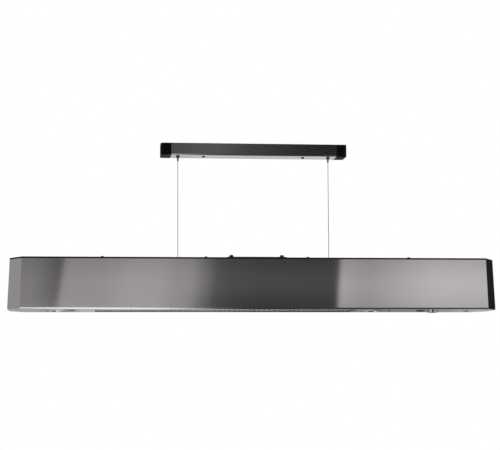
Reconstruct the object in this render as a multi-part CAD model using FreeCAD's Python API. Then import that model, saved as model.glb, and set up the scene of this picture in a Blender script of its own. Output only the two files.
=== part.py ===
import FreeCAD, Part
import math
import os

from FreeCAD import Vector

# Suspended linear infrared food warmer.
# The row frame: origin at the middle of the ceiling plate's top face, +X along the lamp,
# +Y to the back, +Z up.  Lengths are millimetres.
# Pieces of the lamp are drawn with z = 0 at the underside of its housing, then hung in place.

# ---------------------------------------------------------------- driving dimensions
# Suspension
wire_spacing = 378.0
wire_diameter = 1.5
bar_to_housing = 258.0
swing_angle = 12.0          # fore and aft, degrees each way
sway_angle = 8.0            # side to side, degrees each way
rock_angle = 12.0           # housing about its hangers, degrees each way

# Ceiling bar
bar_overhang = 43.5         # from a wire to the bar's end
bar_depth = 60.0
bar_height = 30.0
bar_sheet = 1.5
bar_bend_radius = 2.5
cap_length = 26.0
cap_wall = 2.5
cap_tongue = 6.0
cap_corner_radius = 8.0
cap_edge_radius = 1.5
cap_rib_depth = 0.6
cap_rib_height = 1.6
cap_rib_count = 4
cap_tongue_radius = 2.0
plate_thickness = 2.0
ceiling_hole_diameter = 5.5
ceiling_hole_spacing_x = 200.0
ceiling_hole_spacing_y = 30.0
cover_screw_spacing = 250.0
cover_screw_diameter = 4.0
cover_screw_head_diameter = 7.4
cover_screw_head_height = 1.8
cover_screw_crown_radius = 1.1
cover_screw_grip = 14.0
cover_screw_tip_room = 2.0
drive_recess_across_flats = 2.5
drive_recess_depth = 1.1
post_across_flats = 8.0
saddle_width = 20.0
saddle_depth = 32.0
saddle_sheet = 2.0

# Wire grippers
socket_shank_diameter = 8.0
socket_collar_diameter = 9.6
socket_collar_height = 2.5
socket_shank_height = 18.0
swivel_ball_diameter = 6.4
swivel_ball_depth = 0.9     # ball centre under the bar's underside
swivel_headroom = 0.8
wire_end_room = 0.4
nozzle_top_diameter = 4.6
nozzle_tip_diameter = 3.8
nozzle_reach = 11.5         # below the bar's underside
nozzle_pivot_depth = 2.0    # wire bend above the nozzle's tip
gripper_nut_height = 4.0
gripper_nut_across_flats = 13.0
clamp_screw_diameter = 3.0
clamp_knob_diameter = 8.0
clamp_knob_thickness = 4.0
clamp_knob_standoff = 2.0
tail_length = 45.0
tail_bend_radius = 6.5
tail_rise = 7.0

# Housing
housing_length = 1206.0
housing_depth = 185.0
housing_height = 126.0
housing_draft = 5.1         # each side, over the whole height
housing_corner_length = 33.0   # each slanted corner panel, along the front
housing_corner_depth = 56.0    # and along the end
housing_sheet = 1.5
housing_return = 14.0
top_cover_thickness = 3.2
top_cover_edge_radius = 1.2
top_screw_end_inset = 228.0
top_screw_count = 4
top_screw_head_diameter = 6.8
top_screw_head_height = 2.3
top_screw_shank_diameter = 3.5
top_screw_crown_radius = 1.6
junction_width = 146.0
junction_side_inset = 9.4  # from the top cover's edge
junction_thickness = 2.0
junction_corner_radius = 6.0
junction_edge_radius = 0.6
junction_bolt_inset_x = 11.0
junction_bolt_inset_y = 10.0
junction_bolt_diameter = 5.0
junction_bolt_flange_diameter = 11.6
junction_bolt_flange_height = 1.2
junction_bolt_head_height = 4.6
junction_bolt_across_flats = 8.0
screw_tail = 3.0           # how far a screw reaches past what it holds
junction_opening_width = 96.0
junction_opening_depth = 96.0
panel_sheet = 1.5
panel_rim_height = 4.5
panel_edge_radius = 3.4
panel_seam_height = 0.5     # shadow groove under the shell's foot
panel_seam_depth = 0.5
panel_screw_end_inset = 43.0
panel_screw_count = 5
small_screw_diameter = 3.0
small_screw_head_diameter = 5.6
small_screw_head_height = 1.4
small_screw_socket_across_flats = 1.8
small_screw_socket_depth = 0.8

# Hangers
hanger_width = 40.0
hanger_plate = 3.0
hanger_cheek_depth = 18.0
hanger_cheek_drop = 16.0
hanger_side_gap = 4.0
anchor_depth = 12.8         # barrel axis under the housing shell's top
barrel_diameter = 10.0
barrel_length = 16.0
trunnion_diameter = 5.0
trunnion_overhang = 1.0
wire_ball_diameter = 4.5
bush_height = 2.0
bush_wall = 3.0

# Infrared zone
guard_left_inset = 211.0    # from the housing's left end to the guard's opening
guard_to_downlight = 9.5
guard_side_gap = 2.0        # from the shell's foot return to the guard's frame
guard_wire_diameter = 3.0
guard_wire_pitch = 12.5
guard_rail_count = 4
guard_frame_width = 12.0
guard_frame_height = 3.0
guard_frame_right_width = 7.2
guard_wire_seat = 3.0       # how far a wire's end reaches under the frame
guard_screw_count = 4
reflector_sheet = 1.0
reflector_roof_width = 68.0
reflector_height = 52.0
reflector_flange = 12.0
shield_sheet = 1.0
shield_gap = 2.0
shield_headroom = 12.0
shield_foot_gap = 2.8       # from the shield's foot to the shell's wall
lamp_tube_diameter = 12.0
lamp_tube_wall = 1.0
lamp_tube_spacing = 40.0
lamp_tube_height = 38.0
filament_diameter = 3.2
lamp_end_diameter = 13.0
lamp_end_length = 20.0
lamp_end_grip = 8.0
holder_length = 18.0
holder_width = 20.0
holder_height = 24.0
holder_seat = 4.0
lamp_lead_hole = 6.0

# Downlights
downlight_left_inset = 120.0
downlight_right_inset = 303.0
bezel_diameter = 85.0
bezel_thickness = 1.2
bezel_mouth_diameter = 60.0
bezel_mouth_flare = 1.0
bezel_edge_radius = 0.84
downlight_can_diameter = 75.0
downlight_can_wall = 2.0
downlight_can_height = 38.0
downlight_collar_height = 10.0
downlight_lens_diameter = 66.0
downlight_lens_thickness = 2.5
downlight_lens_depth = 3.5
led_board_diameter = 56.0
led_board_thickness = 2.0
led_room = 12.0
can_fin_count = 7
can_roof = 4.0

# Controls
button_inset = 183.0
knob_inset = 153.0
pilot_inset = 66.0
knob_diameter = 25.0
knob_height = 10.5
knob_proud = 5.0
knob_edge_radius = 1.0
knob_flute_count = 18
knob_flute_radius = 0.9
knob_flute_bite = 0.45
knob_flute_start = 1.2
knob_mark_width = 1.0
knob_mark_length = 4.0
knob_mark_depth = 0.5
knob_face_thickness = 3.0
knob_shaft_diameter = 6.0
knob_shaft_reach = 8.8      # into the regulator's body
knob_shaft_flat = 2.1       # from the axis
cup_diameter = 29.6
cup_flange_diameter = 32.0
cup_flange_thickness = 0.8
cup_wall = 1.0
cup_depth = 10.0
regulator_bush_diameter = 8.0
regulator_width = 36.0
regulator_depth = 44.0
regulator_height = 22.0
regulator_nut_across_flats = 12.0
regulator_nut_height = 2.5
regulator_standoff = 1.0
regulator_bush_tip = 0.5
button_diameter = 15.6
button_proud = 0.6
button_height = 8.0
button_travel = 3.0
button_edge_radius = 0.5
button_headroom = 1.0
switch_bezel_diameter = 22.0
switch_bezel_thickness = 1.0
switch_barrel_diameter = 19.0
switch_height = 30.0
switch_nut_across_flats = 22.0
switch_nut_height = 3.0
pilot_bezel_diameter = 17.0
pilot_bezel_thickness = 1.0
pilot_lens_diameter = 12.6
pilot_lens_dome = 1.4
pilot_lens_seat = 5.0
pilot_barrel_diameter = 14.0
pilot_height = 24.0
driver_length = 46.0
driver_depth = 96.0
driver_height = 30.0
driver_clearance = 6.0
terminal_inset = 103.0
terminal_length = 44.0
terminal_depth = 22.0
terminal_height = 20.0
terminal_offset = 45.0
terminal_ways = 4
terminal_well_diameter = 5.0
terminal_well_spacing = 12.0
terminal_well_depth = 6.0
earth_stud_inset = 103.0
earth_stud_offset = 50.0
earth_stud_diameter = 5.0
earth_stud_height = 18.0
earth_nut_seat = 5.4
earth_nut_across_flats = 8.0
earth_nut_height = 4.0
earth_washer_thickness = 1.0
gland_inset = 113.0
gland_height = 62.0
gland_thread_diameter = 20.0
gland_flange_across_flats = 24.0
gland_flange_length = 6.0
gland_cap_length = 16.0
gland_cap_radius = 11.5
gland_cap_edge_radius = 4.0
gland_neck_radius = 9.0
gland_neck_length = 9.6
gland_mouth_gap = 0.6
gland_inner_length = 9.0
gland_seal_bore_diameter = 8.0
gland_seal_diameter = 14.0
gland_seal_length = 12.0
gland_nut_thickness = 4.0
baffle_thickness = 1.0
baffle_top_gap = 5.0
loom_diameter = 6.0
loom_bend_radius = 14.0
loom_height = 92.0
loom_offset = 69.0
loom_run_in = 60.0

# Clearances
over = 1.0                  # how far a cutting tool runs past what it cuts
running_fit = 0.05
screw_fit = 0.1
hole_fit = 0.2
piece_gap = 0.3
panel_gap = 0.5

# ---------------------------------------------------------------- derived places
half_spacing = wire_spacing / 2
bar_length = wire_spacing + 2 * bar_overhang
cover_length = bar_length - 2 * cap_length
cover_end = cover_length / 2
bar_under = -bar_height
cover_floor = bar_under + bar_sheet
swivel_centre_z = bar_under - swivel_ball_depth
nozzle_tip_z = bar_under - nozzle_reach
wire_top_z = nozzle_tip_z + nozzle_pivot_depth
saddle_top = cover_floor + saddle_sheet
nut_top = saddle_top + gripper_nut_height
socket_top = bar_under + socket_shank_height

wire_radius = wire_diameter / 2
wire_bore = wire_radius + hole_fit

housing_base_z = -(bar_height + bar_to_housing + housing_height)
left_end = -housing_length / 2
right_end = housing_length / 2
shell_top = housing_height - top_cover_thickness
shell_foot = panel_rim_height
flange_top = shell_foot + housing_sheet
anchor_height = shell_top - anchor_depth
anchor_z = housing_base_z + anchor_height
hanger_top = shell_top - housing_sheet

downlight_left_x = left_end + downlight_left_inset
downlight_right_x = right_end - downlight_right_inset
guard_left = left_end + guard_left_inset
guard_right = downlight_right_x - bezel_diameter / 2 - guard_to_downlight
guard_length = guard_right - guard_left
guard_mid = (guard_left + guard_right) / 2
guard_half_depth = (
    housing_depth / 2 - housing_sheet - housing_return - guard_side_gap - guard_frame_width
)
guard_layer = panel_sheet + guard_wire_diameter + running_fit
guard_frame_top = guard_layer + guard_frame_height
reflector_foot = guard_frame_top
reflector_half_mouth = guard_half_depth + reflector_sheet
reflector_roof = reflector_foot + reflector_height
shield_half = reflector_half_mouth + reflector_flange + shield_gap
shield_top = reflector_roof + shield_headroom
button_x = right_end - button_inset
knob_x = right_end - knob_inset
pilot_x = right_end - pilot_inset
lamp_rows = (-lamp_tube_spacing / 2, lamp_tube_spacing / 2)
wire_places = (-half_spacing, half_spacing)
downlight_places = (downlight_left_x, downlight_right_x)
lamp_end_places = [(x, way, y) for x, way in ((guard_left, 1), (guard_right, -1)) for y in lamp_rows]

panel_half_depth = housing_depth / 2
screw_row_y = panel_half_depth - housing_sheet - housing_return / 2
top_half_depth = housing_depth / 2 - housing_draft
top_screw_y = top_half_depth - housing_sheet - housing_return / 2
panel_screw_pitch = (housing_length - 2 * panel_screw_end_inset) / (panel_screw_count - 1)
top_screw_pitch = (housing_length - 2 * top_screw_end_inset) / (top_screw_count - 1)
panel_screw_places = [
    ((i - (panel_screw_count - 1) / 2) * panel_screw_pitch, side * screw_row_y)
    for i in range(panel_screw_count)
    for side in (-1, 1)
]
top_screw_places = [
    ((i - (top_screw_count - 1) / 2) * top_screw_pitch, side * top_screw_y)
    for i in range(top_screw_count)
    for side in (-1, 1)
]
junction_depth = 2 * (top_half_depth - junction_side_inset)
junction_bolt_x = junction_width / 2 - junction_bolt_inset_x
junction_bolt_y = junction_depth / 2 - junction_bolt_inset_y
junction_bolt_places = [
    (sx * junction_bolt_x, sy * junction_bolt_y)
    for sx in (-1, 1)
    for sy in (-1, 1)
]
guard_screw_y = guard_half_depth + guard_frame_width / 2
guard_screw_places = [
    (guard_left + (i + 0.5) * guard_length / guard_screw_count, side * guard_screw_y)
    for i in range(guard_screw_count)
    for side in (-1, 1)
]

cover_screw_places = (-cover_screw_spacing / 2, cover_screw_spacing / 2)
ball_radius = swivel_ball_diameter / 2
seat_radius = ball_radius + running_fit
neck_radius = nozzle_top_diameter / 2
wire_ball_radius = wire_ball_diameter / 2
tube_inset = holder_length - lamp_end_grip + lamp_end_length
can_radius = downlight_can_diameter / 2
can_inner = can_radius - downlight_can_wall
lens_low = downlight_lens_depth
lens_high = lens_low + downlight_lens_thickness
cup_floor = cup_depth + cup_wall
shaft_radius = knob_shaft_diameter / 2
shaft_low = knob_face_thickness - knob_proud
regulator_low = cup_floor + regulator_standoff
shaft_top = regulator_low + knob_shaft_reach
regulator_bush_low = cup_depth - regulator_nut_height - regulator_bush_tip
switch_bore = button_diameter / 2 + 2 * running_fit
switch_bore_top = button_height + button_travel + button_headroom
driver_x = downlight_right_x + can_radius + driver_clearance
terminal_x = right_end - terminal_inset
baffle_left_x = guard_left - guard_frame_width - driver_clearance
baffle_right_x = driver_x + driver_length + driver_clearance
gland_lean = math.degrees(math.atan2(housing_draft, housing_height))
gland_x = right_end - gland_inset
gland_y = housing_depth / 2 - housing_draft * gland_height / housing_height

os.makedirs("parts", exist_ok=True)


# ---------------------------------------------------------------- drawing helpers
def block(x0, x1, y0, y1, z0, z1):
    return Part.makeBox(x1 - x0, y1 - y0, z1 - z0, Vector(x0, y0, z0))


def rod(radius, x, y, z0, z1):
    return Part.makeCylinder(radius, z1 - z0, Vector(x, y, z0))


def rod_x(radius, x0, x1, y, z):
    return Part.makeCylinder(radius, x1 - x0, Vector(x0, y, z), Vector(1, 0, 0))


def rod_y(radius, x, y0, y1, z):
    return Part.makeCylinder(radius, y1 - y0, Vector(x, y0, z), Vector(0, 1, 0))


def taper(radius_low, radius_high, x, y, z0, z1):
    return Part.makeCone(radius_low, radius_high, z1 - z0, Vector(x, y, z0))


def ring(outer, inner, x, y, z0, z1):
    return rod(outer, x, y, z0, z1).cut(rod(inner, x, y, z0 - over, z1 + over))


def hexagon(across_flats, x, y, z0, z1):
    corner = across_flats / math.sqrt(3)
    turns = [math.radians(60 * i) for i in range(7)]
    points = [Vector(x + corner * math.cos(a), y + corner * math.sin(a), z0) for a in turns]
    face = Part.Face(Part.makePolygon(points))
    return face.extrude(Vector(0, 0, z1 - z0))


def rounded_outline(half_x, half_y, radius, z):
    """A rectangle with round corners, drawn flat at height z."""
    inner_x = half_x - radius
    inner_y = half_y - radius
    bow = radius * math.sqrt(0.5)
    edges = []
    corners = [(1, 1), (-1, 1), (-1, -1), (1, -1)]
    for index, (sx, sy) in enumerate(corners):
        next_sx, next_sy = corners[(index + 1) % 4]
        centre = Vector(sx * inner_x, sy * inner_y, z)
        side = Vector(sx * radius, 0, 0)
        end = Vector(0, sy * radius, 0)
        first, last = (side, end) if sx * sy > 0 else (end, side)
        middle = centre + Vector(sx * bow, sy * bow, 0)
        edges.append(Part.Arc(centre + first, middle, centre + last).toShape())
        next_centre = Vector(next_sx * inner_x, next_sy * inner_y, z)
        if sx * sy > 0:
            start = centre + last
            stop = next_centre + Vector(0, next_sy * radius, 0)
        else:
            start = centre + last
            stop = next_centre + Vector(next_sx * radius, 0, 0)
        edges.append(Part.LineSegment(start, stop).toShape())
    return Part.Wire(edges)


def draft_at(height):
    return housing_draft * height / housing_height


def housing_corner_line(inward):
    """Where a slanted corner panel meets the long side and the end, from the housing's middle."""
    slant = math.hypot(housing_corner_length, housing_corner_depth)
    along = housing_corner_length + inward * (slant - housing_corner_length) / housing_corner_depth
    across = housing_corner_depth + inward * (slant - housing_corner_depth) / housing_corner_length
    return housing_length / 2 - along, housing_depth / 2 - across


def housing_outline(height, inset=0.0):
    """The drafted housing's outline at a height, taken in by inset: long sides, ends and four
    slanted corners."""
    inward = draft_at(height) + inset
    half_x = housing_length / 2 - inward
    half_y = housing_depth / 2 - inward
    fold_x, fold_y = housing_corner_line(inward)
    corner = [(fold_x, half_y), (half_x, fold_y)]
    points = []
    for sx, sy in ((1, 1), (1, -1), (-1, -1), (-1, 1)):
        run = corner if sx * sy > 0 else corner[::-1]
        points += [Vector(sx * x, sy * y, height) for x, y in run]
    return Part.makePolygon(points + points[:1])


def drafted_block(low, high, inset=0.0):
    outlines = [housing_outline(low, inset), housing_outline(high, inset)]
    return Part.makeLoft(outlines, True, True)


def path_tube(points, bend, radius):
    """A round tube along straight runs joined by tangent arcs of one bend radius."""
    edges = []
    start = points[0]
    for before, corner, after in zip(points, points[1:], points[2:]):
        way_in = (corner - before).normalize()
        way_out = (after - corner).normalize()
        turn = way_in.getAngle(way_out)
        reach = bend * math.tan(turn / 2)
        arc_start = corner - way_in * reach
        arc_end = corner + way_out * reach
        inward = (way_out - way_in).normalize()
        centre = corner + inward * (bend / math.cos(turn / 2))
        middle = centre - inward * bend
        edges.append(Part.LineSegment(start, arc_start).toShape())
        edges.append(Part.Arc(arc_start, middle, arc_end).toShape())
        start = arc_end
    edges.append(Part.LineSegment(start, points[-1]).toShape())
    path = Part.Wire(edges)
    direction = (points[1] - points[0]).normalize()
    circle = Part.Wire(Part.makeCircle(radius, points[0], direction))
    return path.makePipeShell([circle], True, False)


def cut_all(shape, tools):
    for tool in tools:
        shape = shape.cut(tool)
    return shape


def save(node, solids):
    """Writes one node, with each solid in it kept apart."""
    shape = solids[0] if len(solids) == 1 else Part.makeCompound(solids)
    shape.exportStep(os.path.join("parts", node + ".step"))


def save_lamp(node, solids):
    """Hangs pieces drawn from the housing's underside in their place, and writes them."""
    save(node, [s.translated(Vector(0, 0, housing_base_z)) for s in solids])


def at_wires(make):
    return [make(x) for x in wire_places]


def countersunk_screw(x, y, length):
    """A flush screw from below, with its head at z = 0."""
    head = taper(
        small_screw_head_diameter / 2, small_screw_diameter / 2, x, y, 0, small_screw_head_height
    )
    shank = rod(small_screw_diameter / 2, x, y, small_screw_head_height, length)
    socket = hexagon(small_screw_socket_across_flats, x, y, 0, small_screw_socket_depth)
    return head.fuse(shank).removeSplitter().cut(socket)


def countersunk_hole(x, y):
    """The matching hole through the bottom panel."""
    head_radius = small_screw_head_diameter / 2 + screw_fit
    shank_radius = small_screw_diameter / 2 + screw_fit
    cone = taper(head_radius, shank_radius, x, y, 0, small_screw_head_height)
    return cone.fuse(rod(shank_radius, x, y, 0, panel_rim_height + over))


# ---------------------------------------------------------------- ceiling bar
def channel_section(half_depth, bottom, radius):
    """A U outline closed across its top, with the two lower corners rounded."""
    bow = radius * (1 - math.sqrt(0.5))
    top_left = Vector(0, -half_depth, 0)
    left_bend = Vector(0, -half_depth, bottom + radius)
    left_floor = Vector(0, -half_depth + radius, bottom)
    right_floor = Vector(0, half_depth - radius, bottom)
    right_bend = Vector(0, half_depth, bottom + radius)
    top_right = Vector(0, half_depth, 0)
    left_mid = Vector(0, -half_depth + bow, bottom + bow)
    right_mid = Vector(0, half_depth - bow, bottom + bow)
    edges = [
        Part.LineSegment(top_left, left_bend).toShape(),
        Part.Arc(left_bend, left_mid, left_floor).toShape(),
        Part.LineSegment(left_floor, right_floor).toShape(),
        Part.Arc(right_floor, right_mid, right_bend).toShape(),
        Part.LineSegment(right_bend, top_right).toShape(),
        Part.LineSegment(top_right, top_left).toShape(),
    ]
    return Part.Face(Part.Wire(edges))


def channel(half_length, wall_outside, wall_inside, outer_radius):
    outer = channel_section(bar_depth / 2 - wall_outside, bar_under + wall_outside, outer_radius)
    inner_radius = outer_radius - (wall_inside - wall_outside)
    inner = channel_section(bar_depth / 2 - wall_inside, bar_under + wall_inside, inner_radius)
    outer_solid = outer.extrude(Vector(2 * half_length, 0, 0))
    inner_solid = inner.extrude(Vector(2 * half_length, 0, 0))
    return outer_solid.cut(inner_solid).translated(Vector(-half_length, 0, 0))


def make_bar_cover():
    cover = channel(cover_end, 0, bar_sheet, bar_bend_radius)
    socket_hole = socket_shank_diameter / 2 + screw_fit
    holes = [rod(socket_hole, x, 0, bar_under - over, cover_floor + over) for x in wire_places]
    for side in (-1, 1):
        x = side * cover_screw_spacing / 2
        holes.append(rod(cover_screw_diameter / 2 + hole_fit, x, 0, bar_under - over, cover_floor + over))
    return cut_all(cover, holes)


def make_end_cap(side):
    """Moulded cap, drawn for the right end and mirrored for the left."""
    end = bar_length / 2
    half_depth = bar_depth / 2
    body = block(cover_end, end, -half_depth, half_depth, bar_under, 0)
    uprights = [
        e
        for e in body.Edges
        if abs(e.Vertexes[0].X - end) < 0.01
        and abs(e.Vertexes[1].X - end) < 0.01
        and abs(e.Vertexes[0].Z - e.Vertexes[1].Z) > 1
    ]
    body = body.makeFillet(cap_corner_radius, uprights)
    rim = [
        e
        for e in body.Edges
        if abs(e.BoundBox.ZMin - bar_under) < 0.01
        and e.BoundBox.ZLength < 0.01
        and e.BoundBox.XMax > cover_end + 0.01
    ]
    body = body.makeFillet(cap_edge_radius, rim)
    hollow = block(
        cover_end - over,
        end - cap_wall,
        -half_depth + cap_wall,
        half_depth - cap_wall,
        bar_under + cap_wall,
        1,
    )
    body = body.cut(hollow)
    rib_pitch = bar_height / (cap_rib_count + 1)
    for i in range(cap_rib_count):
        z = bar_under + (i + 1) * rib_pitch
        for face in (-1, 1):
            y = face * half_depth
            groove = block(
                cover_end - over,
                end - cap_corner_radius,
                y - cap_rib_depth,
                y + cap_rib_depth,
                z - cap_rib_height / 2,
                z + cap_rib_height / 2,
            )
            body = body.cut(groove)
    tongue_out = bar_sheet + hole_fit
    tongue = channel(cap_tongue, tongue_out, tongue_out + bar_sheet, cap_tongue_radius)
    tongue = tongue.translated(Vector(cover_end, 0, 0))
    tongue = tongue.common(
        block(cover_end - cap_tongue, cover_end + over, -half_depth, half_depth, bar_under, 0)
    )
    cap = body.fuse(tongue).removeSplitter()
    if side < 0:
        cap = cap.mirror(Vector(0, 0, 0), Vector(1, 0, 0))
    return cap


def make_ceiling_plate():
    half_x = cover_end - cap_tongue - panel_gap
    half_y = bar_depth / 2 - bar_sheet - panel_gap
    plate = block(-half_x, half_x, -half_y, half_y, -plate_thickness, 0)
    holes = [
        rod(
            ceiling_hole_diameter / 2,
            sx * ceiling_hole_spacing_x / 2,
            sy * ceiling_hole_spacing_y / 2,
            -plate_thickness - over,
            1,
        )
        for sx in (-1, 1)
        for sy in (-1, 1)
    ]
    return cut_all(plate, holes)


def make_saddle(x):
    """A U bracket, spot welded under the plate, that carries one gripper."""
    half_w = saddle_width / 2
    half_d = saddle_depth / 2
    outer = block(x - half_w, x + half_w, -half_d, half_d, cover_floor, -plate_thickness)
    inner = block(
        x - half_w - over,
        x + half_w + over,
        -half_d + saddle_sheet,
        half_d - saddle_sheet,
        saddle_top,
        -plate_thickness + over,
    )
    hole = rod(socket_shank_diameter / 2 + screw_fit, x, 0, cover_floor - over, saddle_top + over)
    return outer.cut(inner).cut(hole)


def make_post(x):
    post = hexagon(post_across_flats, x, 0, cover_floor, -plate_thickness)
    thread_top = bar_under + cover_screw_grip + cover_screw_tip_room
    return post.cut(rod(cover_screw_diameter / 2 + running_fit, x, 0, cover_floor - over, thread_top))


def make_cover_screw(x):
    low = bar_under - cover_screw_head_height
    radius = cover_screw_head_diameter / 2
    head = rod(radius, x, 0, low, bar_under)
    rim = [e for e in head.Edges if abs(e.BoundBox.ZMax - low) < 0.01]
    head = head.makeFillet(cover_screw_crown_radius, rim)
    shank = rod(cover_screw_diameter / 2, x, 0, bar_under, bar_under + cover_screw_grip)
    recess = hexagon(drive_recess_across_flats, x, 0, low, low + drive_recess_depth)
    return head.fuse(shank).cut(recess)


save("ceiling_plate", [make_ceiling_plate()])
save("gripper_saddles", at_wires(make_saddle))
save("bar_cover", [make_bar_cover()])
save("bar_end_cap_left", [make_end_cap(-1)])
save("bar_end_cap_right", [make_end_cap(1)])
save("cover_posts", [make_post(x) for x in cover_screw_places])
save("cover_screws", [make_cover_screw(x) for x in cover_screw_places])


# ---------------------------------------------------------------- wire grippers
def swept_radius(radius, depth, angle):
    """The hole that a stem needs at a depth from its pivot, to lean by angle degrees."""
    lean = math.radians(angle)
    return radius / math.cos(lean) + depth * math.tan(lean) + 2 * running_fit


def make_socket(x):
    """Turned socket: collar under the bar, threaded shank through it, ball seat inside."""
    collar_low = bar_under - socket_collar_height
    collar = rod(socket_collar_diameter / 2, x, 0, collar_low, bar_under)
    shank = rod(socket_shank_diameter / 2, x, 0, bar_under, socket_top)
    body = collar.fuse(shank).removeSplitter()
    cavity = Part.makeSphere(seat_radius, Vector(x, 0, swivel_centre_z))
    head_room = rod(seat_radius, x, 0, swivel_centre_z, swivel_centre_z + ball_radius + swivel_headroom)
    bore = rod(wire_bore, x, 0, swivel_centre_z, socket_top + over)
    depth = swivel_centre_z - collar_low + over
    throat = taper(
        swept_radius(neck_radius, depth, swing_angle),
        swept_radius(neck_radius, 0, swing_angle),
        x,
        0,
        swivel_centre_z - depth,
        swivel_centre_z,
    )
    seat = cavity.fuse(throat)
    screw_z = (nut_top + socket_top) / 2
    screw_hole = rod_y(clamp_screw_diameter / 2 + running_fit, x, 0, socket_shank_diameter, screw_z)
    return cut_all(body, [seat, head_room, bore, screw_hole])


def make_gripper_nut(x):
    nut = hexagon(gripper_nut_across_flats, x, 0, saddle_top, nut_top)
    return nut.cut(rod(socket_shank_diameter / 2 + running_fit, x, 0, saddle_top - over, nut_top + over))


def make_clamp_screw(x):
    """Thumb screw that pins the wire in the socket's shank."""
    z = (nut_top + socket_top) / 2
    tip = wire_radius + running_fit
    knob_start = socket_shank_diameter / 2 + clamp_knob_standoff
    shank = rod_y(clamp_screw_diameter / 2, x, tip, knob_start, z)
    knob = rod_y(clamp_knob_diameter / 2, x, knob_start, knob_start + clamp_knob_thickness, z)
    return shank.fuse(knob)


def make_tail(x):
    """The spare end of the wire, bent over inside the bar towards its middle."""
    inward = -math.copysign(1, x)
    start = Vector(x, 0, swivel_centre_z + ball_radius + wire_end_room)
    corner = Vector(x, 0, socket_top + tail_rise)
    end = Vector(x + inward * tail_length, 0, socket_top + tail_rise)
    return path_tube([start, corner, end], tail_bend_radius, wire_radius)


def make_swivel(x):
    """Ball with its nozzle: the wire leaves through it, and it turns in the socket."""
    ball = Part.makeSphere(ball_radius, Vector(x, 0, swivel_centre_z))
    join_z = swivel_centre_z - math.sqrt(ball_radius**2 - neck_radius**2)
    tip_radius = nozzle_tip_diameter / 2
    neck = taper(tip_radius, neck_radius, x, 0, nozzle_tip_z, join_z)
    body = ball.fuse(neck)
    bore = rod(wire_bore, x, 0, nozzle_tip_z - over, swivel_centre_z + ball_radius + over)
    mouth_depth = nozzle_pivot_depth + over
    mouth = taper(
        swept_radius(wire_radius, mouth_depth, sway_angle),
        swept_radius(wire_radius, 0, sway_angle),
        x,
        0,
        wire_top_z - mouth_depth,
        wire_top_z,
    )
    return cut_all(body, [bore, mouth])


def make_core(x):
    """The length of wire held inside a nozzle."""
    low = wire_top_z + wire_radius + screw_fit
    return rod(wire_radius, x, 0, low, swivel_centre_z + ball_radius)


def make_wire(x):
    """One suspension wire, from its bend in the nozzle to its ball end."""
    low = anchor_z + wire_ball_radius + running_fit
    body = rod(wire_radius, x, 0, low, wire_top_z)
    return body.fuse(Part.makeSphere(wire_radius, Vector(x, 0, wire_top_z)))


save("gripper_sockets", at_wires(make_socket))
save("gripper_nuts", at_wires(make_gripper_nut))
save("wire_clamp_screws", at_wires(make_clamp_screw))
save("wire_tails", at_wires(make_tail))
save("gripper_swivels", at_wires(make_swivel))
save("wire_cores", at_wires(make_core))
save("wire_left", [make_wire(-half_spacing)])
save("wire_right", [make_wire(half_spacing)])


# ---------------------------------------------------------------- lamp hangers
def make_wire_ball(x):
    return Part.makeSphere(wire_ball_radius, Vector(x, 0, anchor_height))


def make_barrel(x):
    """Cross barrel: the housing rocks on its trunnions, and the wire's ball seats in it."""
    half = barrel_length / 2
    end = half + piece_gap + hanger_plate + trunnion_overhang
    body = rod_x(barrel_diameter / 2, x - half, x + half, 0, anchor_height)
    body = body.fuse(rod_x(trunnion_diameter / 2, x - end, x + end, 0, anchor_height))
    seat = wire_ball_radius + running_fit
    lift = barrel_diameter
    throat = taper(
        swept_radius(wire_radius, 0, sway_angle),
        swept_radius(wire_radius, lift, sway_angle),
        x,
        0,
        anchor_height,
        anchor_height + lift,
    )
    socket = Part.makeSphere(seat, Vector(x, 0, anchor_height))
    entry = rod(seat, x, 0, anchor_height - barrel_diameter, anchor_height)
    return cut_all(body, [throat, socket, entry])


def slot(x, extra, reach_low, reach_high):
    """An oblong hole that lets the wire lean both ways, seen from the barrel's axis."""
    reach = reach_high - anchor_height
    half_x = swept_radius(wire_radius, reach, sway_angle) + extra
    half_y = swept_radius(wire_radius, reach, rock_angle) + extra
    flat = rounded_outline(half_x, half_y, wire_bore + extra, reach_low)
    hole = Part.Face(flat).extrude(Vector(0, 0, reach_high - reach_low))
    return hole.translated(Vector(x, 0, 0))


def make_hanger(x):
    """Cross member, spot welded under the shell's top returns, with two cheeks."""
    low = hanger_top - hanger_plate
    half_y = top_half_depth - housing_sheet - hanger_side_gap
    half_w = hanger_width / 2
    body = block(x - half_w, x + half_w, -half_y, half_y, low, hanger_top)
    cheek_in = barrel_length / 2 + piece_gap
    for side in (-1, 1):
        near = x + side * cheek_in
        far = x + side * (cheek_in + hanger_plate)
        cheek = block(
            min(near, far),
            max(near, far),
            -hanger_cheek_depth / 2,
            hanger_cheek_depth / 2,
            low - hanger_cheek_drop,
            low,
        )
        body = body.fuse(cheek)
    body = body.removeSplitter()
    pin_hole = rod_x(
        trunnion_diameter / 2 + running_fit, x - half_w, x + half_w, 0, anchor_height
    )
    return body.cut(pin_hole).cut(slot(x, piece_gap, low - over, hanger_top + over))


def make_bush(x):
    """Oval nylon bush that lines the wire's slot in the top cover."""
    high = housing_height + bush_height
    outer = slot(x, bush_wall + piece_gap, housing_height, high)
    return outer.cut(slot(x, piece_gap, housing_height - over, high + over))


save_lamp("wire_ball_left", [make_wire_ball(-half_spacing)])
save_lamp("wire_ball_right", [make_wire_ball(half_spacing)])
save_lamp("hanger_barrels", at_wires(make_barrel))
save_lamp("hanger_brackets", at_wires(make_hanger))
save_lamp("wire_bushes", at_wires(make_bush))


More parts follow.
